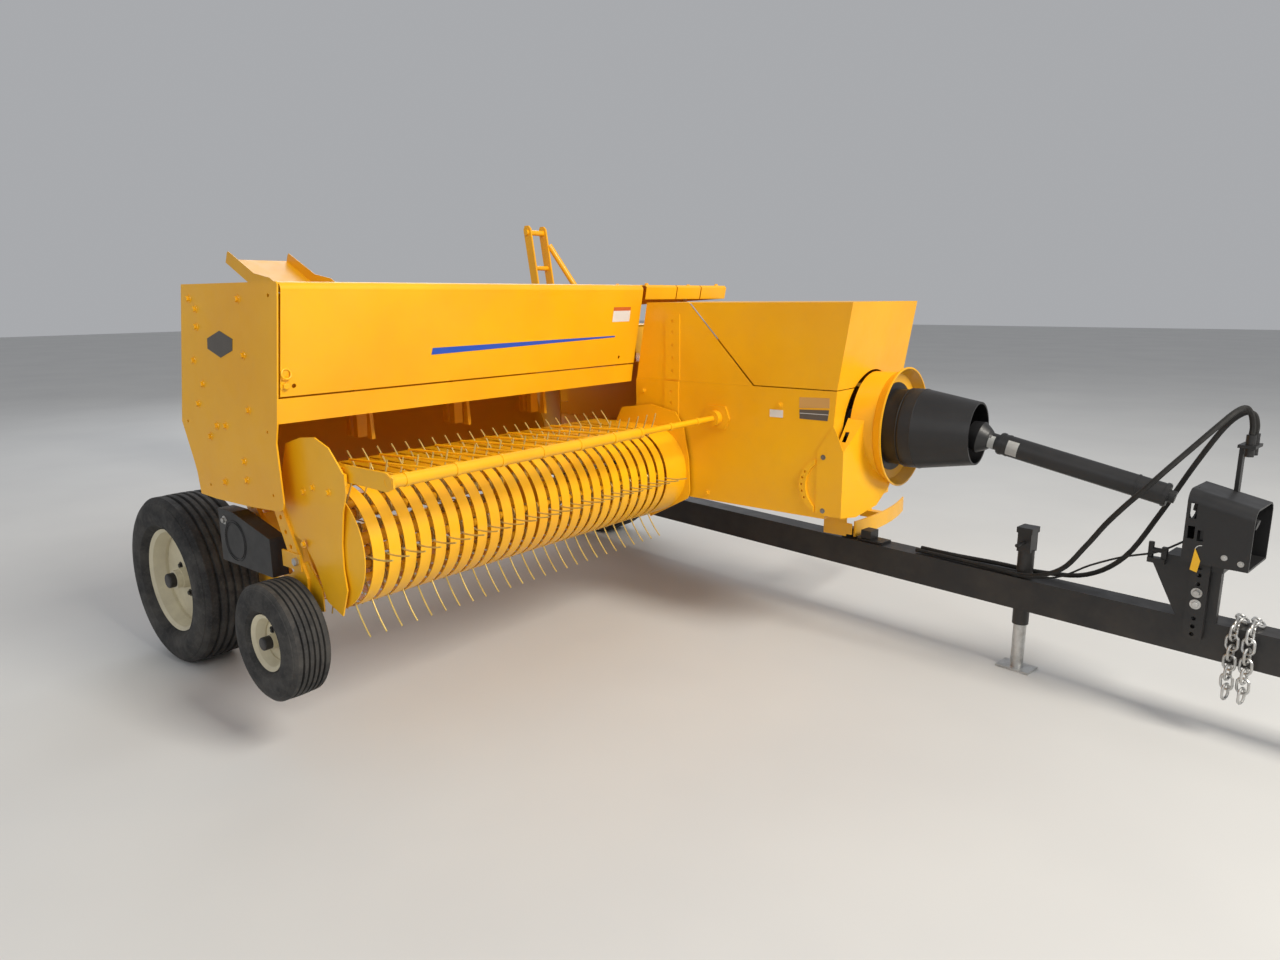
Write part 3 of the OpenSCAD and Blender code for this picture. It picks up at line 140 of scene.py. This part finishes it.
def bump(tree, shader, height, strength, distance):
    node = tree.nodes.new("ShaderNodeBump")
    node.inputs["Strength"].default_value = strength
    node.inputs["Distance"].default_value = distance
    tree.links.new(height, node.inputs["Height"])
    tree.links.new(node.outputs["Normal"], shader.inputs["Normal"])


def height_of(tree, place):
    """The height above the ground at a point."""
    node = tree.nodes.new("ShaderNodeSeparateXYZ")
    tree.links.new(place, node.inputs[0])
    return node.outputs["Z"]


def painted(name, colour, shade, dust, gloss, dust_top=0.75, coat=0.35):
    """Sprayed paint: faint orange peel, uneven tone, and road dust low down."""
    material, tree, shader, place = finish_tree(name)
    tone = mix(tree, level(tree, noise(tree, place, 2.2, 3), 0.35, 0.68), colour, shade)
    specks = level(tree, noise(tree, place, 34, 6, 0.7), 0.52, 0.74, 0.0, 0.5)
    low = level(tree, height_of(tree, place), 0.15, dust_top, 0.5, 0.03)
    dirt = times(tree, level(tree, noise(tree, place, 6, 6, 0.65), 0.40, 0.7, 0.1, 1.0), low)
    dirty = mix(tree, dirt, tone, dust)
    scuffed = mix(tree, times(tree, specks, 0.10), dirty, dust)
    tree.links.new(scuffed, shader.inputs["Base Color"])
    grain = noise(tree, place, 14, 4, 0.6)
    tree.links.new(level(tree, grain, 0.3, 0.75, gloss, gloss + 0.16), shader.inputs["Roughness"])
    shader.inputs["Specular IOR Level"].default_value = 0.5
    shader.inputs["Coat Weight"].default_value = coat
    shader.inputs["Coat Roughness"].default_value = 0.12
    bump(tree, shader, noise(tree, place, 320, 2, 0.5), 0.08, 0.0006)
    return material


def rubber_finish(name, colour, dust, amount):
    """Tyre rubber, grey with dry dust in patches."""
    material, tree, shader, place = finish_tree(name)
    worn = mix(tree, level(tree, noise(tree, place, 9, 6, 0.65), 0.38, 0.72, 0.0, amount), colour, dust)
    fine = mix(tree, level(tree, noise(tree, place, 90, 4, 0.7), 0.5, 0.8, 0.0, 0.35), worn, dust)
    tree.links.new(fine, shader.inputs["Base Color"])
    tree.links.new(level(tree, noise(tree, place, 26, 4), 0.3, 0.7, 0.62, 0.86), shader.inputs["Roughness"])
    shader.inputs["Specular IOR Level"].default_value = 0.35
    bump(tree, shader, noise(tree, place, 240, 3, 0.6), 0.25, 0.001)
    return material


def steel_finish(name, colour, dark, rough, metal=0.9):
    """Bare or plated steel with uneven stain."""
    material, tree, shader, place = finish_tree(name)
    stain = mix(tree, level(tree, noise(tree, place, 16, 6, 0.7), 0.42, 0.72), colour, dark)
    tree.links.new(stain, shader.inputs["Base Color"])
    tree.links.new(level(tree, noise(tree, place, 40, 4), 0.3, 0.7, rough, rough + 0.2), shader.inputs["Roughness"])
    shader.inputs["Metallic"].default_value = metal
    bump(tree, shader, noise(tree, place, 180, 3, 0.6), 0.12, 0.0008)
    return material


YELLOW = painted("baler_yellow", (0.93, 0.47, 0.003), (0.86, 0.40, 0.003), (0.42, 0.31, 0.15), 0.30, 0.6, 0.12)
BLACK = painted("frame_black", (0.009, 0.009, 0.010), (0.014, 0.014, 0.015), (0.075, 0.06, 0.045), 0.40, 0.6, 0.06)
CREAM = painted("rim_cream", (0.72, 0.66, 0.48), (0.62, 0.56, 0.39), (0.30, 0.25, 0.17), 0.36, 0.9, 0.1)
TYRE = rubber_finish("tyre_rubber", (0.018, 0.018, 0.019), (0.12, 0.112, 0.10), 0.5)
HOSE = rubber_finish("hose_rubber", (0.012, 0.012, 0.012), (0.06, 0.056, 0.05), 0.3)
ZINC = steel_finish("plated_steel", (0.62, 0.62, 0.61), (0.36, 0.35, 0.33), 0.30)
TINE_STEEL = steel_finish("tine_steel", (0.62, 0.46, 0.14), (0.40, 0.28, 0.08), 0.34, 0.35)
STEEL = steel_finish("plain_steel", (0.30, 0.29, 0.28), (0.13, 0.105, 0.085), 0.42)

finish_of_slot = {"yellow_paint": YELLOW, "black_paint": BLACK, "cream_paint": CREAM, "tyre_rubber": TYRE,
                  "hose_rubber": HOSE, "zinc": ZINC, "bare_steel": STEEL}
slot_of_node = {s["node"]: s["material_slot"] for s in frame["record"]["subparts"]}
for name, node in nodes.items():
    node.data.materials.clear()
    node.data.materials.append(finish_of_slot[slot_of_node[name]])


# Studio

def studio():
    """A pale floor and soft lamps round the machine."""
    floor_mesh = bmesh.new()
    bmesh.ops.create_grid(floor_mesh, x_segments=1, y_segments=1, size=40)
    floor = add_piece("studio_floor", floor_mesh, None, pale_floor())
    world = bpy.data.worlds.new("studio_sky")
    world.use_nodes = True
    world.node_tree.nodes["Background"].inputs["Color"].default_value = (0.94, 0.96, 1.0, 1)
    world.node_tree.nodes["Background"].inputs["Strength"].default_value = 0.42
    bpy.context.scene.world = world
    bpy.context.scene.view_settings.view_transform = "Standard"
    lamps = [("sun_side", (8.0, -0.6, 6.5), 3.0, 820, (1.0, 0.95, 0.86)),
             ("front_fill", (2.5, -8.0, 4.5), 6.0, 110, (1.0, 1.0, 1.0)),
             ("back_fill", (-6.0, 5.0, 5.5), 6.0, 240, (0.93, 0.96, 1.0))]
    for name, spot, size, power, colour in lamps:
        data = bpy.data.lights.new(name, "AREA")
        data.shape = "SQUARE"
        data.size = size
        data.energy = power
        data.color = colour
        lamp = bpy.data.objects.new(name, data)
        lamp.location = spot
        lamp.rotation_euler = (Vector((0.6, -0.3, 0.7)) - Vector(spot)).to_track_quat("-Z", "Y").to_euler()
        bpy.context.scene.collection.objects.link(lamp)


def pale_floor():
    material, tree, shader, place = finish_tree("pale_floor")
    tone = mix(tree, level(tree, noise(tree, place, 0.8, 3), 0.3, 0.7), (0.62, 0.62, 0.61), (0.58, 0.58, 0.575))
    tree.links.new(tone, shader.inputs["Base Color"])
    shader.inputs["Roughness"].default_value = 0.85
    return material


def add_piece(name, mesh, body, material, smooth=True):
    """Makes a bmesh an object that rides on a body, with its finish."""
    bmesh.ops.recalc_face_normals(mesh, faces=mesh.faces)
    data = bpy.data.meshes.new(name)
    mesh.to_mesh(data)
    mesh.free()
    for m in material if isinstance(material, list) else [material]:
        data.materials.append(m)
    piece = bpy.data.objects.new(name, data)
    bpy.context.scene.collection.objects.link(piece)
    if smooth:
        for polygon in data.polygons:
            polygon.use_smooth = True
        piece.data.set_sharp_from_angle(angle=math.radians(35))
    if body:
        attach(piece, body)
    return piece


def wire(lines, radius, sides=8, closed=False):
    """Round wire along each line of points."""
    curve = bpy.data.curves.new("wire", "CURVE")
    curve.dimensions = "3D"
    curve.bevel_depth = radius
    curve.bevel_resolution = max(0, sides // 2 - 2)
    curve.use_fill_caps = not closed
    for line in lines:
        spline = curve.splines.new("POLY")
        spline.points.add(len(line) - 1)
        for point, spot in zip(spline.points, line):
            point.co = (*spot, 1)
        spline.use_cyclic_u = closed
    holder = bpy.data.objects.new("wire", curve)
    bpy.context.scene.collection.objects.link(holder)
    bpy.context.view_layer.update()
    made = bpy.data.meshes.new_from_object(holder.evaluated_get(bpy.context.evaluated_depsgraph_get()))
    mesh = bmesh.new()
    mesh.from_mesh(made)
    bpy.data.objects.remove(holder)
    bpy.data.curves.remove(curve)
    bpy.data.meshes.remove(made)
    return mesh


def join(mesh, other, turn=Matrix.Identity(4)):
    """Adds a turned copy of another bmesh."""
    data = bpy.data.meshes.new("part")
    other.to_mesh(data)
    data.transform(turn)
    mesh.from_mesh(data)
    bpy.data.meshes.remove(data)


def facing(spot, normal):
    """A turn that takes +Z to a direction, at a place."""
    return Matrix.Translation(spot) @ Vector(normal).to_track_quat("Z", "Y").to_matrix().to_4x4()


def bolt_head(mesh, spot, normal, across=0.018, washer=True):
    """A hexagon head on a washer, its underside at the place."""
    turn = facing(spot, normal)
    thick = across * 0.12 if washer else 0
    if washer:
        bmesh.ops.create_cone(mesh, cap_ends=True, segments=20, radius1=across * 0.95, radius2=across * 0.92,
                              depth=thick, matrix=turn @ Matrix.Translation((0, 0, thick / 2)))
    head = across * 0.5
    made = bmesh.ops.create_cone(mesh, cap_ends=True, segments=6, radius1=across * 0.577, radius2=across * 0.577,
                                 depth=head, matrix=turn @ Matrix.Translation((0, 0, thick + head / 2)))
    top = [e for e in {e for v in made["verts"] for e in v.link_edges}
           if all((turn.inverted() @ v.co).z > thick + head * 0.9 for v in e.verts)]
    bmesh.ops.bevel(mesh, geom=top, offset=across * 0.05, segments=1, affect="EDGES", profile=0.5, material=-1)


def bolts(name, body, places, normal, across=0.018, material=None, washer=True):
    mesh = bmesh.new()
    for spot in places:
        bolt_head(mesh, at(*spot), normal, across, washer)
    return add_piece(name, mesh, body, material or ZINC)


studio()

# Wheels

# the side wall from bead to shoulder: share of the wall's height, share of the half width
SIDE_WALL = [(0.16, 0.93), (0.18, 0.955), (0.21, 0.955), (0.34, 0.995), (0.48, 1.0), (0.62, 0.985),
             (0.74, 0.95), (0.83, 0.915), (0.845, 0.885), (0.90, 0.865)]


def tyre(name, body, node, centre, width, diameter, bead_diameter, ribs):
    """A ribbed implement tyre, turned from its section: bead, bulged wall, shoulder and grooved tread."""
    outer, bead, half = diameter / 2, bead_diameter / 2, width / 2
    wall = outer - bead
    section = [(bead - 0.006, half * 0.60), (bead + 0.0034, half * 0.69), (bead + 0.008, half * 0.80)]
    section += [(bead + wall * up, half * out) for up, out in SIDE_WALL]
    section += [(outer - 0.006, half * 0.80), (outer - 0.002, half * 0.765)]
    tread_half, groove, depth = half * 0.76, width * 0.028, wall * 0.075
    pitch = 2 * tread_half / ribs
    tread = []
    for k in range(ribs - 1):
        middle = tread_half - (k + 1) * pitch
        crown = 0.004 * (middle / tread_half) ** 2
        top = outer - crown
        tread += [(top, middle + groove), (top - depth, middle + groove * 0.55),
                  (top - depth, middle - groove * 0.55), (top, middle - groove)]
    ring = section + tread + [(r, -y) for r, y in reversed(section)]
    mesh = bmesh.new()
    loop = [mesh.verts.new((centre.x + r, centre.y + y, centre.z)) for r, y in ring]
    edges = [mesh.edges.new((a, b)) for a, b in zip(loop, loop[1:] + loop[:1])]
    bmesh.ops.spin(mesh, geom=loop + edges, cent=centre, axis=(0, 1, 0), angle=2 * math.pi, steps=96, use_merge=True)
    bmesh.ops.remove_doubles(mesh, verts=mesh.verts, dist=0.00001)
    piece = add_piece(name, mesh, body, TYRE)
    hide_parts(node)
    return piece


tyre("ribbed_tyre_right", "wheel_right", "tyre_right", RIGHT_WHEEL, 0.241, 0.686, 0.417, 6)
tyre("ribbed_tyre_left", "wheel_left", "tyre_left", LEFT_WHEEL, 0.241, 0.686, 0.417, 6)
tyre("ribbed_gauge_tyre", "gauge_wheel", "gauge_tyre", GAUGE_WHEEL, 0.138, 0.381, 0.181, 6)


# Pickup reel: bars with sprung double tines

REEL = at(1205, 0, 700)
TINE_ROWS, TINE_GAPS, TINE_PITCH, FIRST_TINE = 6, 26, 0.0575, -1.908 + SHIFT.y
BAR_CIRCLE, COIL_RADIUS = 0.122, 0.0185


def around_reel(radius, ahead, across, row):
    """A place by its radius, its lead in the turning direction and its y, on one bar's side of the reel."""
    a = row * 2 * math.pi / TINE_ROWS
    out, lead = Vector((math.cos(a), 0, math.sin(a))), Vector((-math.sin(a), 0, math.cos(a)))
    return Vector((REEL.x, across, REEL.z)) + out * radius + lead * ahead


def tine_line(row, middle, side):
    """One tine: turns of spring on the bar, then a shank that bends forward at its tip."""
    y = middle
    coil = []
    turns, steps = 2.5, 26
    for k in range(steps):
        a = -math.pi / 2 - 2 * math.pi * turns * (1 - k / (steps - 1))
        spread = side * (0.008 * turns) * (1 - k / (steps - 1))
        out, lead = COIL_RADIUS * math.cos(a + math.pi / 2), COIL_RADIUS * math.sin(a + math.pi / 2)
        coil.append(around_reel(BAR_CIRCLE + out, lead, y + spread, row))
    shank = [(0.150, 0.004), (0.175, 0.0), (0.205, -0.001), (0.235, 0.000), (0.262, 0.003), (0.285, 0.007),
             (0.305, 0.012)]
    return coil + [around_reel(r, lead, y, row) for r, lead in shank]


def pickup_reel():
    mesh = bmesh.new()
    left, right = -1.931 + SHIFT.y, -0.332 + SHIFT.y
    length, middle = right - left, (left + right) / 2
    lying = Matrix.Rotation(math.pi / 2, 4, "X")
    bmesh.ops.create_cone(mesh, cap_ends=True, segments=32, radius1=0.022, radius2=0.022, depth=length,
                          matrix=Matrix.Translation((REEL.x, middle, REEL.z)) @ lying)
    for y in (left + 0.015, -1.127 + SHIFT.y, right - 0.015):
        bmesh.ops.create_cone(mesh, cap_ends=True, segments=64, radius1=0.144, radius2=0.144, depth=0.006,
                              matrix=Matrix.Translation((REEL.x, y, REEL.z)) @ lying)
    for row in range(TINE_ROWS):
        spot = around_reel(BAR_CIRCLE, 0, middle, row)
        bmesh.ops.create_cone(mesh, cap_ends=True, segments=24, radius1=0.014, radius2=0.014, depth=length - 0.024,
                              matrix=Matrix.Translation(spot) @ lying)
    for face in mesh.faces:
        face.material_index = 0
    tines = wire([tine_line(row, FIRST_TINE + k * TINE_PITCH, 1 if k % 2 == 0 else -1)
                  for row in range(TINE_ROWS) for k in range(TINE_GAPS)], 0.0028, 6)
    for face in tines.faces:
        face.material_index = 1
    join(mesh, tines)
    tines.free()
    piece = add_piece("sprung_tine_reel", mesh, "reel", [YELLOW, TINE_STEEL])
    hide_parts("pickup_reel")


pickup_reel()


# Plates, labels and bolts

def flat_plate(mesh, corners, normal, thick):
    """A flat plate from its corners in the source's millimetres, raised along its normal."""
    rise = Vector(normal).normalized() * thick
    low = [mesh.verts.new(at(*c)) for c in corners]
    high = [mesh.verts.new(at(*c) + rise) for c in corners]
    mesh.faces.new(high)
    mesh.faces.new(low[::-1])
    for k in range(len(low)):
        n = (k + 1) % len(low)
        mesh.faces.new((low[k], low[n], high[n], high[k]))


def plates(name, body, shapes, normal, material, thick=0.0008):
    mesh = bmesh.new()
    for corners in shapes:
        flat_plate(mesh, corners, normal, thick)
    return add_piece(name, mesh, body, material, smooth=False)


# the lid's front leans from x 1099 at its lower edge to x 1157 at its bend
LID_LEAN = (1157 - 1099) / (1478 - 1162)
LID_NORMAL = (1, 0, -LID_LEAN)


def on_lid(y, z):
    """A place on the lid's leaning front sheet."""
    return (1099.1 + LID_LEAN * (z - 1162) + 0.3, y, z)


def lid_trim():
    """The blue tapered stripe and a blank plate on the lid's front."""
    def sheet(name, corners, material, thick=0.0008):
        plates(name, "lid", [[on_lid(y, z) for y, z in corners]], LID_NORMAL, material, thick)

    sheet("blue_stripe", [(-1430, 1259), (-464, 1281), (-464, 1287), (-1426, 1282)], BLUE)
    sheet("lid_blank_plate", [(-493, 1346), (-382, 1346), (-382, 1407), (-493, 1407)], PALE_PLATE)
    sheet("lid_plate_band", [(-493, 1392), (-382, 1392), (-382, 1407), (-493, 1407)], BAND_ORANGE, 0.0012)


def case_trim():
    """Blank plates on the case's right side and the end panel's blank badge."""
    def sheet(name, y, corners, material, thick=0.0008):
        plates(name, "frame", [[(x, y, z) for x, z in corners]], (0, -1, 0), material, thick)

    side = -305.1
    sheet("case_grey_plate", side, [(1935, 978), (2055, 978), (2060, 1020), (1933, 1014)], DARK_PLATE)
    sheet("case_plate_line", side, [(1935, 999), (2057, 1001), (2057, 1003), (1935, 1001)], PALE_PLATE, 0.0013)
    sheet("case_tan_plate", side, [(1932, 1020), (2061, 1028), (2060, 1066), (1932, 1062)], TAN_PLATE)
    sheet("case_small_plate", side, [(1800, 975), (1860, 975), (1860, 1005), (1800, 1005)], PALE_PLATE)
    badge = [(692, 1327), (779, 1353), (860, 1329), (852, 1293), (770, 1268), (687, 1294)]
    sheet("end_blank_badge", -1990.1, badge, DARK_PLATE, 0.0012)


# on the end panel: x, z
PAINTED_BOLTS = [(916, 1451), (620, 1363), (916, 1280), (622, 1175), (913, 1109), (574, 1106), (691, 1041),
                 (751, 1046), (627, 1420), (589, 1453), (636, 1001), (853, 939), (706, 853), (857, 877), (575, 1252)]


def small_bolts():
    def yellow(name, body, places, normal, across):
        bolts(name, body, places, normal, across, YELLOW)

    yellow("end_panel_bolts", "frame", [(x, -1990, z) for x, z in PAINTED_BOLTS], (0, -1, 0), 0.015)
    yellow("pickup_plate_bolts", "pickup",
           [(1120, -1945, 868), (1173, -1945, 888), (1260, -1945, 884), (1109, -1953, 700)], (0, -1, 0), 0.014)
    bolts("gauge_arm_bolt", "pickup", [(1062, -1953, 635)], (0, -1, 0), 0.024)
    bolts("guard_side_bolts", "frame", [(2044, -309, 836), (2049, -309, 623)], (0, -1, 0), 0.011, STEEL)
    yellow("case_side_bolts", "frame",
           [(1844, -305, 1024), (1150, -305, 640), (1150, -305, 1040), (1500, -305, 620)], (0, -1, 0), 0.014)
    bolts("side_box_bolt", "frame", [(640, -1976, 708)], (0, -1, 0), 0.016)
    across = tongue_right()
    bolts("gusset_bolts", "tongue", [along(2804, -70.3, 440), along(2804, -70.3, 480)], across, 0.018)
    bolts("shield_bolts", "tongue", [along(2875, -110, 624), along(2921, -110, 613)], across, 0.010)
    roof = [(600 + 170 * k, y, 1500) for k in range(4) for y in (-290 + 60, 320)]
    yellow("roof_bolts", "frame", roof, (0, 0, 1), 0.014)


def along(s, t, z):
    """A place in the tongue's own frame, as the source's millimetres."""
    c, d = math.cos(TONGUE_TURN), math.sin(TONGUE_TURN)
    return (TONGUE_PIVOT[0] + s * c - t * d, TONGUE_PIVOT[1] + s * d + t * c, z)


def tongue_right():
    """The direction out of the tongue's right side."""
    return Vector((math.sin(TONGUE_TURN), -math.cos(TONGUE_TURN), 0))


def smooth_line(points, steps=6):
    """A smooth line through places given in metres."""
    line = []
    for i in range(len(points) - 1):
        a, b, c, d = points[max(i - 1, 0)], points[i], points[i + 1], points[min(i + 2, len(points) - 1)]
        for k in range(steps):
            t = k / steps
            line.append(0.5 * (2 * b + t * (c - a) + t * t * (2 * a - 5 * b + 4 * c - d)
                               + t ** 3 * (3 * b - a - 3 * c + d)))
    return line + [points[-1]]


def round_bar(mesh, start, end, radius, sides=32, caps=True, end_radius=None):
    """A round bar between two places in metres."""
    span = end - start
    turn = facing((start + end) / 2, span)
    return bmesh.ops.create_cone(mesh, cap_ends=caps, segments=sides, radius1=radius,
                                 radius2=radius if end_radius is None else end_radius, depth=span.length, matrix=turn)


# Rims: wheel nuts, hub cap and valve

def rim_trim(name, body, centre, side, nuts, circle, across, face, cap_radius, cap_out):
    mesh = bmesh.new()
    for k in range(nuts):
        a = 2 * math.pi * (k + 0.5) / nuts
        spot = centre + Vector((circle * math.cos(a), side * face, circle * math.sin(a)))
        bolt_head(mesh, spot, (0, side, 0), across)
    add_piece(name + "_nuts", mesh, body, BLACK)
    mesh = bmesh.new()
    start = centre + Vector((0, side * cap_out[0], 0))
    end = centre + Vector((0, side * cap_out[1], 0))
    made = round_bar(mesh, start, end, cap_radius, 40)
    outer = [v for v in made["verts"] if abs(v.co.y - end.y) < 1e-5]
    rim = {e for v in outer for e in v.link_edges if abs(e.other_vert(v).co.y - end.y) < 1e-5}
    bmesh.ops.bevel(mesh, geom=list(rim), offset=cap_radius * 0.22, segments=3, affect="EDGES", profile=0.5,
                    material=-1)
    add_piece(name + "_cap", mesh, body, BLACK)
    valve = bmesh.new()
    stem = centre + Vector((circle * 1.75 * 0.5, side * face, circle * 1.75 * 0.866))
    round_bar(valve, stem, stem + Vector((0.004, side * 0.034, 0.006)), 0.0055, 16)
    add_piece(name + "_valve", valve, body, HOSE)


# Drive line: blank plates, bearing rings and the yokes in the bell

def on_drive(distance, around=0.0, out=0.0):
    """A place by its distance along the drive line, its angle round it and its radius, in metres."""
    ahead = (DRIVE_END - DRIVE_START).normalized()
    side = ahead.cross(Vector((0, 0, 1))).normalized()
    up = side.cross(ahead)
    return DRIVE_START + ahead * distance + (side * math.cos(around) + up * math.sin(around)) * out


def drive_trim():
    """Blank plates bent round the guard tube, its collars and the joint's forks."""
    for name, body, near, far, low, high, radius, material in (
            ("drive_plate_a", "drive_rear", 0.075, 0.118, -0.75, 0.75, 0.0345, PALE_PLATE),
            ("drive_plate_b", "drive_front", 0.162, 0.206, -0.75, 0.75, 0.0392, PALE_PLATE)):
        mesh = bmesh.new()
        steps = 14
        rows = [[mesh.verts.new(on_drive(d, low + (high - low) * k / steps, radius)) for k in range(steps + 1)]
                for d in (near, far)]
        for k in range(steps):
            mesh.faces.new((rows[0][k], rows[0][k + 1], rows[1][k + 1], rows[1][k]))
        bmesh.ops.solidify(mesh, geom=mesh.faces[:], thickness=0.0006)
        add_piece(name, mesh, body, material)
    mesh = bmesh.new()
    for d, r, w in ((0.135, 0.0415, 0.010), (0.16, 0.0405, 0.006), (0.60, 0.0405, 0.006), (0.688, 0.0410, 0.010)):
        round_bar(mesh, on_drive(d), on_drive(d + w), r, 48)
    add_piece("drive_tube_collars", mesh, "drive_front", BLACK)
    mesh = bmesh.new()
    for a in (0, math.pi):
        for b in (-0.35, 0.35):
            round_bar(mesh, on_drive(-0.03, a + b, 0.022), on_drive(0.052, a + b * 0.6, 0.024), 0.009, 16)
    for v in mesh.verts:
        v.co += Vector((0.052, 0, 0))
    add_piece("drive_joint_forks", mesh, "drive_rear", STEEL)


# Safety chain, chute chains

def link_loop(centre, along_dir, flat_dir, half_length, half_width):
    """One chain link's centre line."""
    line = []
    straight = half_length - half_width
    for k in range(20):
        a = 2 * math.pi * k / 20
        out = half_width * math.sin(a)
        end = half_width * math.cos(a) + (straight if math.cos(a) > 0 else -straight)
        line.append(centre + along_dir * end + flat_dir * out)
    return line


def links_along(path, pitch, half_length, half_width):
    """Links' centre lines along a path of places in metres, each turned a quarter from the last."""
    spots, rest = [path[0]], pitch
    for a, b in zip(path, path[1:]):
        span = (b - a).length
        done = 0.0
        while span - done >= rest:
            done += rest
            spots.append(a.lerp(b, done / span))
            rest = pitch
        rest -= span - done
    loops = []
    for k, spot in enumerate(spots):
        ahead = (spots[min(k + 1, len(spots) - 1)] - spots[max(k - 1, 0)]).normalized()
        side = ahead.cross(Vector((0.35, 0.86, 0.37))).normalized()
        flat = side if k % 2 == 0 else side.cross(ahead)
        loops.append(link_loop(spot, ahead, flat, half_length, half_width))
    return loops


def tongue_chain():
    """Two strands hung over the tongue's right edge."""
    loops = []
    for s, tail in ((2920, 168), (2965, 150)):
        path = [at(*along(s, t, z))
                for t, z in ((24, 396), (-30, 397), (-52, 393), (-66, 380), (-71, 350), (-71, tail))]
        loops += links_along(path, 0.034, 0.026, 0.018)
    mesh = wire(loops, 0.0045, 8, True)
    piece = add_piece("two_strand_chain", mesh, "tongue", ZINC)
    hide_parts("safety_chain")


def chute_chain():
    """Straight tight chains from the chute's sides to the frame."""
    tilt, reach = math.radians(26), 1300
    rear_x, rear_z = -862 - reach * math.cos(tilt), 820 + reach * math.sin(tilt) + 110
    loops = []
    for side in (-1, 1):
        path = [at(rear_x, side * 237.5, rear_z), at(-500, side * 285, CEILING + 135.3)]
        loops += links_along(path, 0.030, 0.019, 0.0095)
    piece = add_piece("linked_chute_chains", wire(loops, 0.0035, 6, True), "frame", ZINC)
    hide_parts("chute_chains")


def guard_collars():
    """Collars along the wind guard's tube, thinner where the tube is."""
    mesh = bmesh.new()
    for y in (-1880, -1700, -1520, -1340, -1160, -980, -830, -640, -460):
        radius = 0.0215 if y < -820 else 0.0155
        round_bar(mesh, at(1545, y, 950), at(1545, y + 14, 950), radius, 40)
    add_piece("wind_guard_collars", mesh, "guard", YELLOW)


def round_line(centre, radius, across, steps):
    """A closed ring of places, its plane held by one level direction and the upright."""
    angles = [2 * math.pi * k / steps for k in range(steps)]
    return [centre + (across * math.cos(a) + Vector((0, 0, 1)) * math.sin(a)) * radius for a in angles]


def bell_ring():
    """Rings pressed into the bell's wall."""
    mesh = bmesh.new()
    for x, radius in ((2262, 0.1535), (2318, 0.1545)):
        loop = round_line(at(x, 0, SHAFT_HEIGHT), radius, Vector((0, 1, 0)), 72)
        join(mesh, wire([loop], 0.0026, 8, True))
    add_piece("bell_rings", mesh, "frame", BLACK)


def box_rib():
    """The round pressed rib on the black side box."""
    mesh = bmesh.new()
    for radius in (0.070, 0.063):
        loop = round_line(at(705, -1976.5, 644), radius, Vector((1, 0, 0)), 64)
        join(mesh, wire([loop], 0.0022, 8, True))
    add_piece("side_box_rib", mesh, "frame", BLACK)


def hanging_tag():
    """A blank yellow tag on a short wire at the shield, and a thin cable from the tongue."""
    mesh = bmesh.new()
    corners = [along(s, -112, z) for s, z in ((2793, 640), (2812, 600), (2806, 560), (2785, 566))]
    flat_plate(mesh, corners, tongue_right(), 0.001)
    add_piece("blank_tag", mesh, "tongue", TAG_YELLOW, smooth=False)
    tie = ((2793, -112, 638), (2800, -111, 648), (2816, -108, 652), (2830, -104, 650))
    cable = ((1980, -34, 386), (2200, -36, 387), (2350, -52, 420), (2470, -80, 500), (2580, -100, 560),
             (2680, -108, 600), (2740, -100, 640), (2765, -70, 660))
    for name, line, radius, sides, material, slot in (
            ("tag_tie", tie, 0.0012, 6, PALE_PLATE, "zinc"), ("thin_cable", cable, 0.0035, 8, HOSE, "hose_rubber")):
        places = [at(*along(*spot)) for spot in line]
        add_piece(name, wire([smooth_line(places)], radius, sides), "tongue", material)


def latch_bolt():
    """A painted bolt below the lid's latch ring."""
    mesh = bmesh.new()
    bolt_head(mesh, at(*on_lid(-1965, 1196)), LID_NORMAL, 0.018)
    add_piece("lid_latch_bolts", mesh, "lid", YELLOW)


TAG_YELLOW = painted("tag_yellow", (0.90, 0.50, 0.01), (0.86, 0.46, 0.01), (0.5, 0.4, 0.2), 0.4, 0.3, 0.05)
BLUE = painted("stripe_blue", (0.010, 0.085, 0.52), (0.012, 0.075, 0.46), (0.3, 0.3, 0.28), 0.3, 0.3, 0.1)
PALE_PLATE = painted("pale_plate", (0.74, 0.74, 0.72), (0.66, 0.66, 0.64), (0.4, 0.36, 0.3), 0.4, 0.3, 0.05)
TAN_PLATE = painted("tan_plate", (0.66, 0.36, 0.10), (0.55, 0.30, 0.09), (0.4, 0.3, 0.2), 0.4, 0.3, 0.05)
DARK_PLATE = painted("dark_plate", (0.105, 0.09, 0.075), (0.08, 0.07, 0.06), (0.3, 0.25, 0.2), 0.4, 0.3, 0.05)
BAND_ORANGE = painted("plate_band", (0.62, 0.13, 0.02), (0.55, 0.11, 0.02), (0.3, 0.25, 0.2), 0.4, 0.3, 0.05)
lid_trim()
case_trim()
small_bolts()
rim_trim("rim_right", "wheel_right", RIGHT_WHEEL, -1, 6, 0.070, 0.016, 0.024, 0.030, (0.081, 0.108))
rim_trim("rim_left", "wheel_left", LEFT_WHEEL, 1, 6, 0.070, 0.016, 0.024, 0.030, (0.081, 0.108))
rim_trim("gauge_rim", "gauge_wheel", GAUGE_WHEEL, -1, 4, 0.034, 0.010, 0.016, 0.0215, (0.030, 0.0665))
drive_trim()
tongue_chain()
chute_chain()
guard_collars()
bell_ring()
box_rib()
latch_bolt()
hanging_tag()
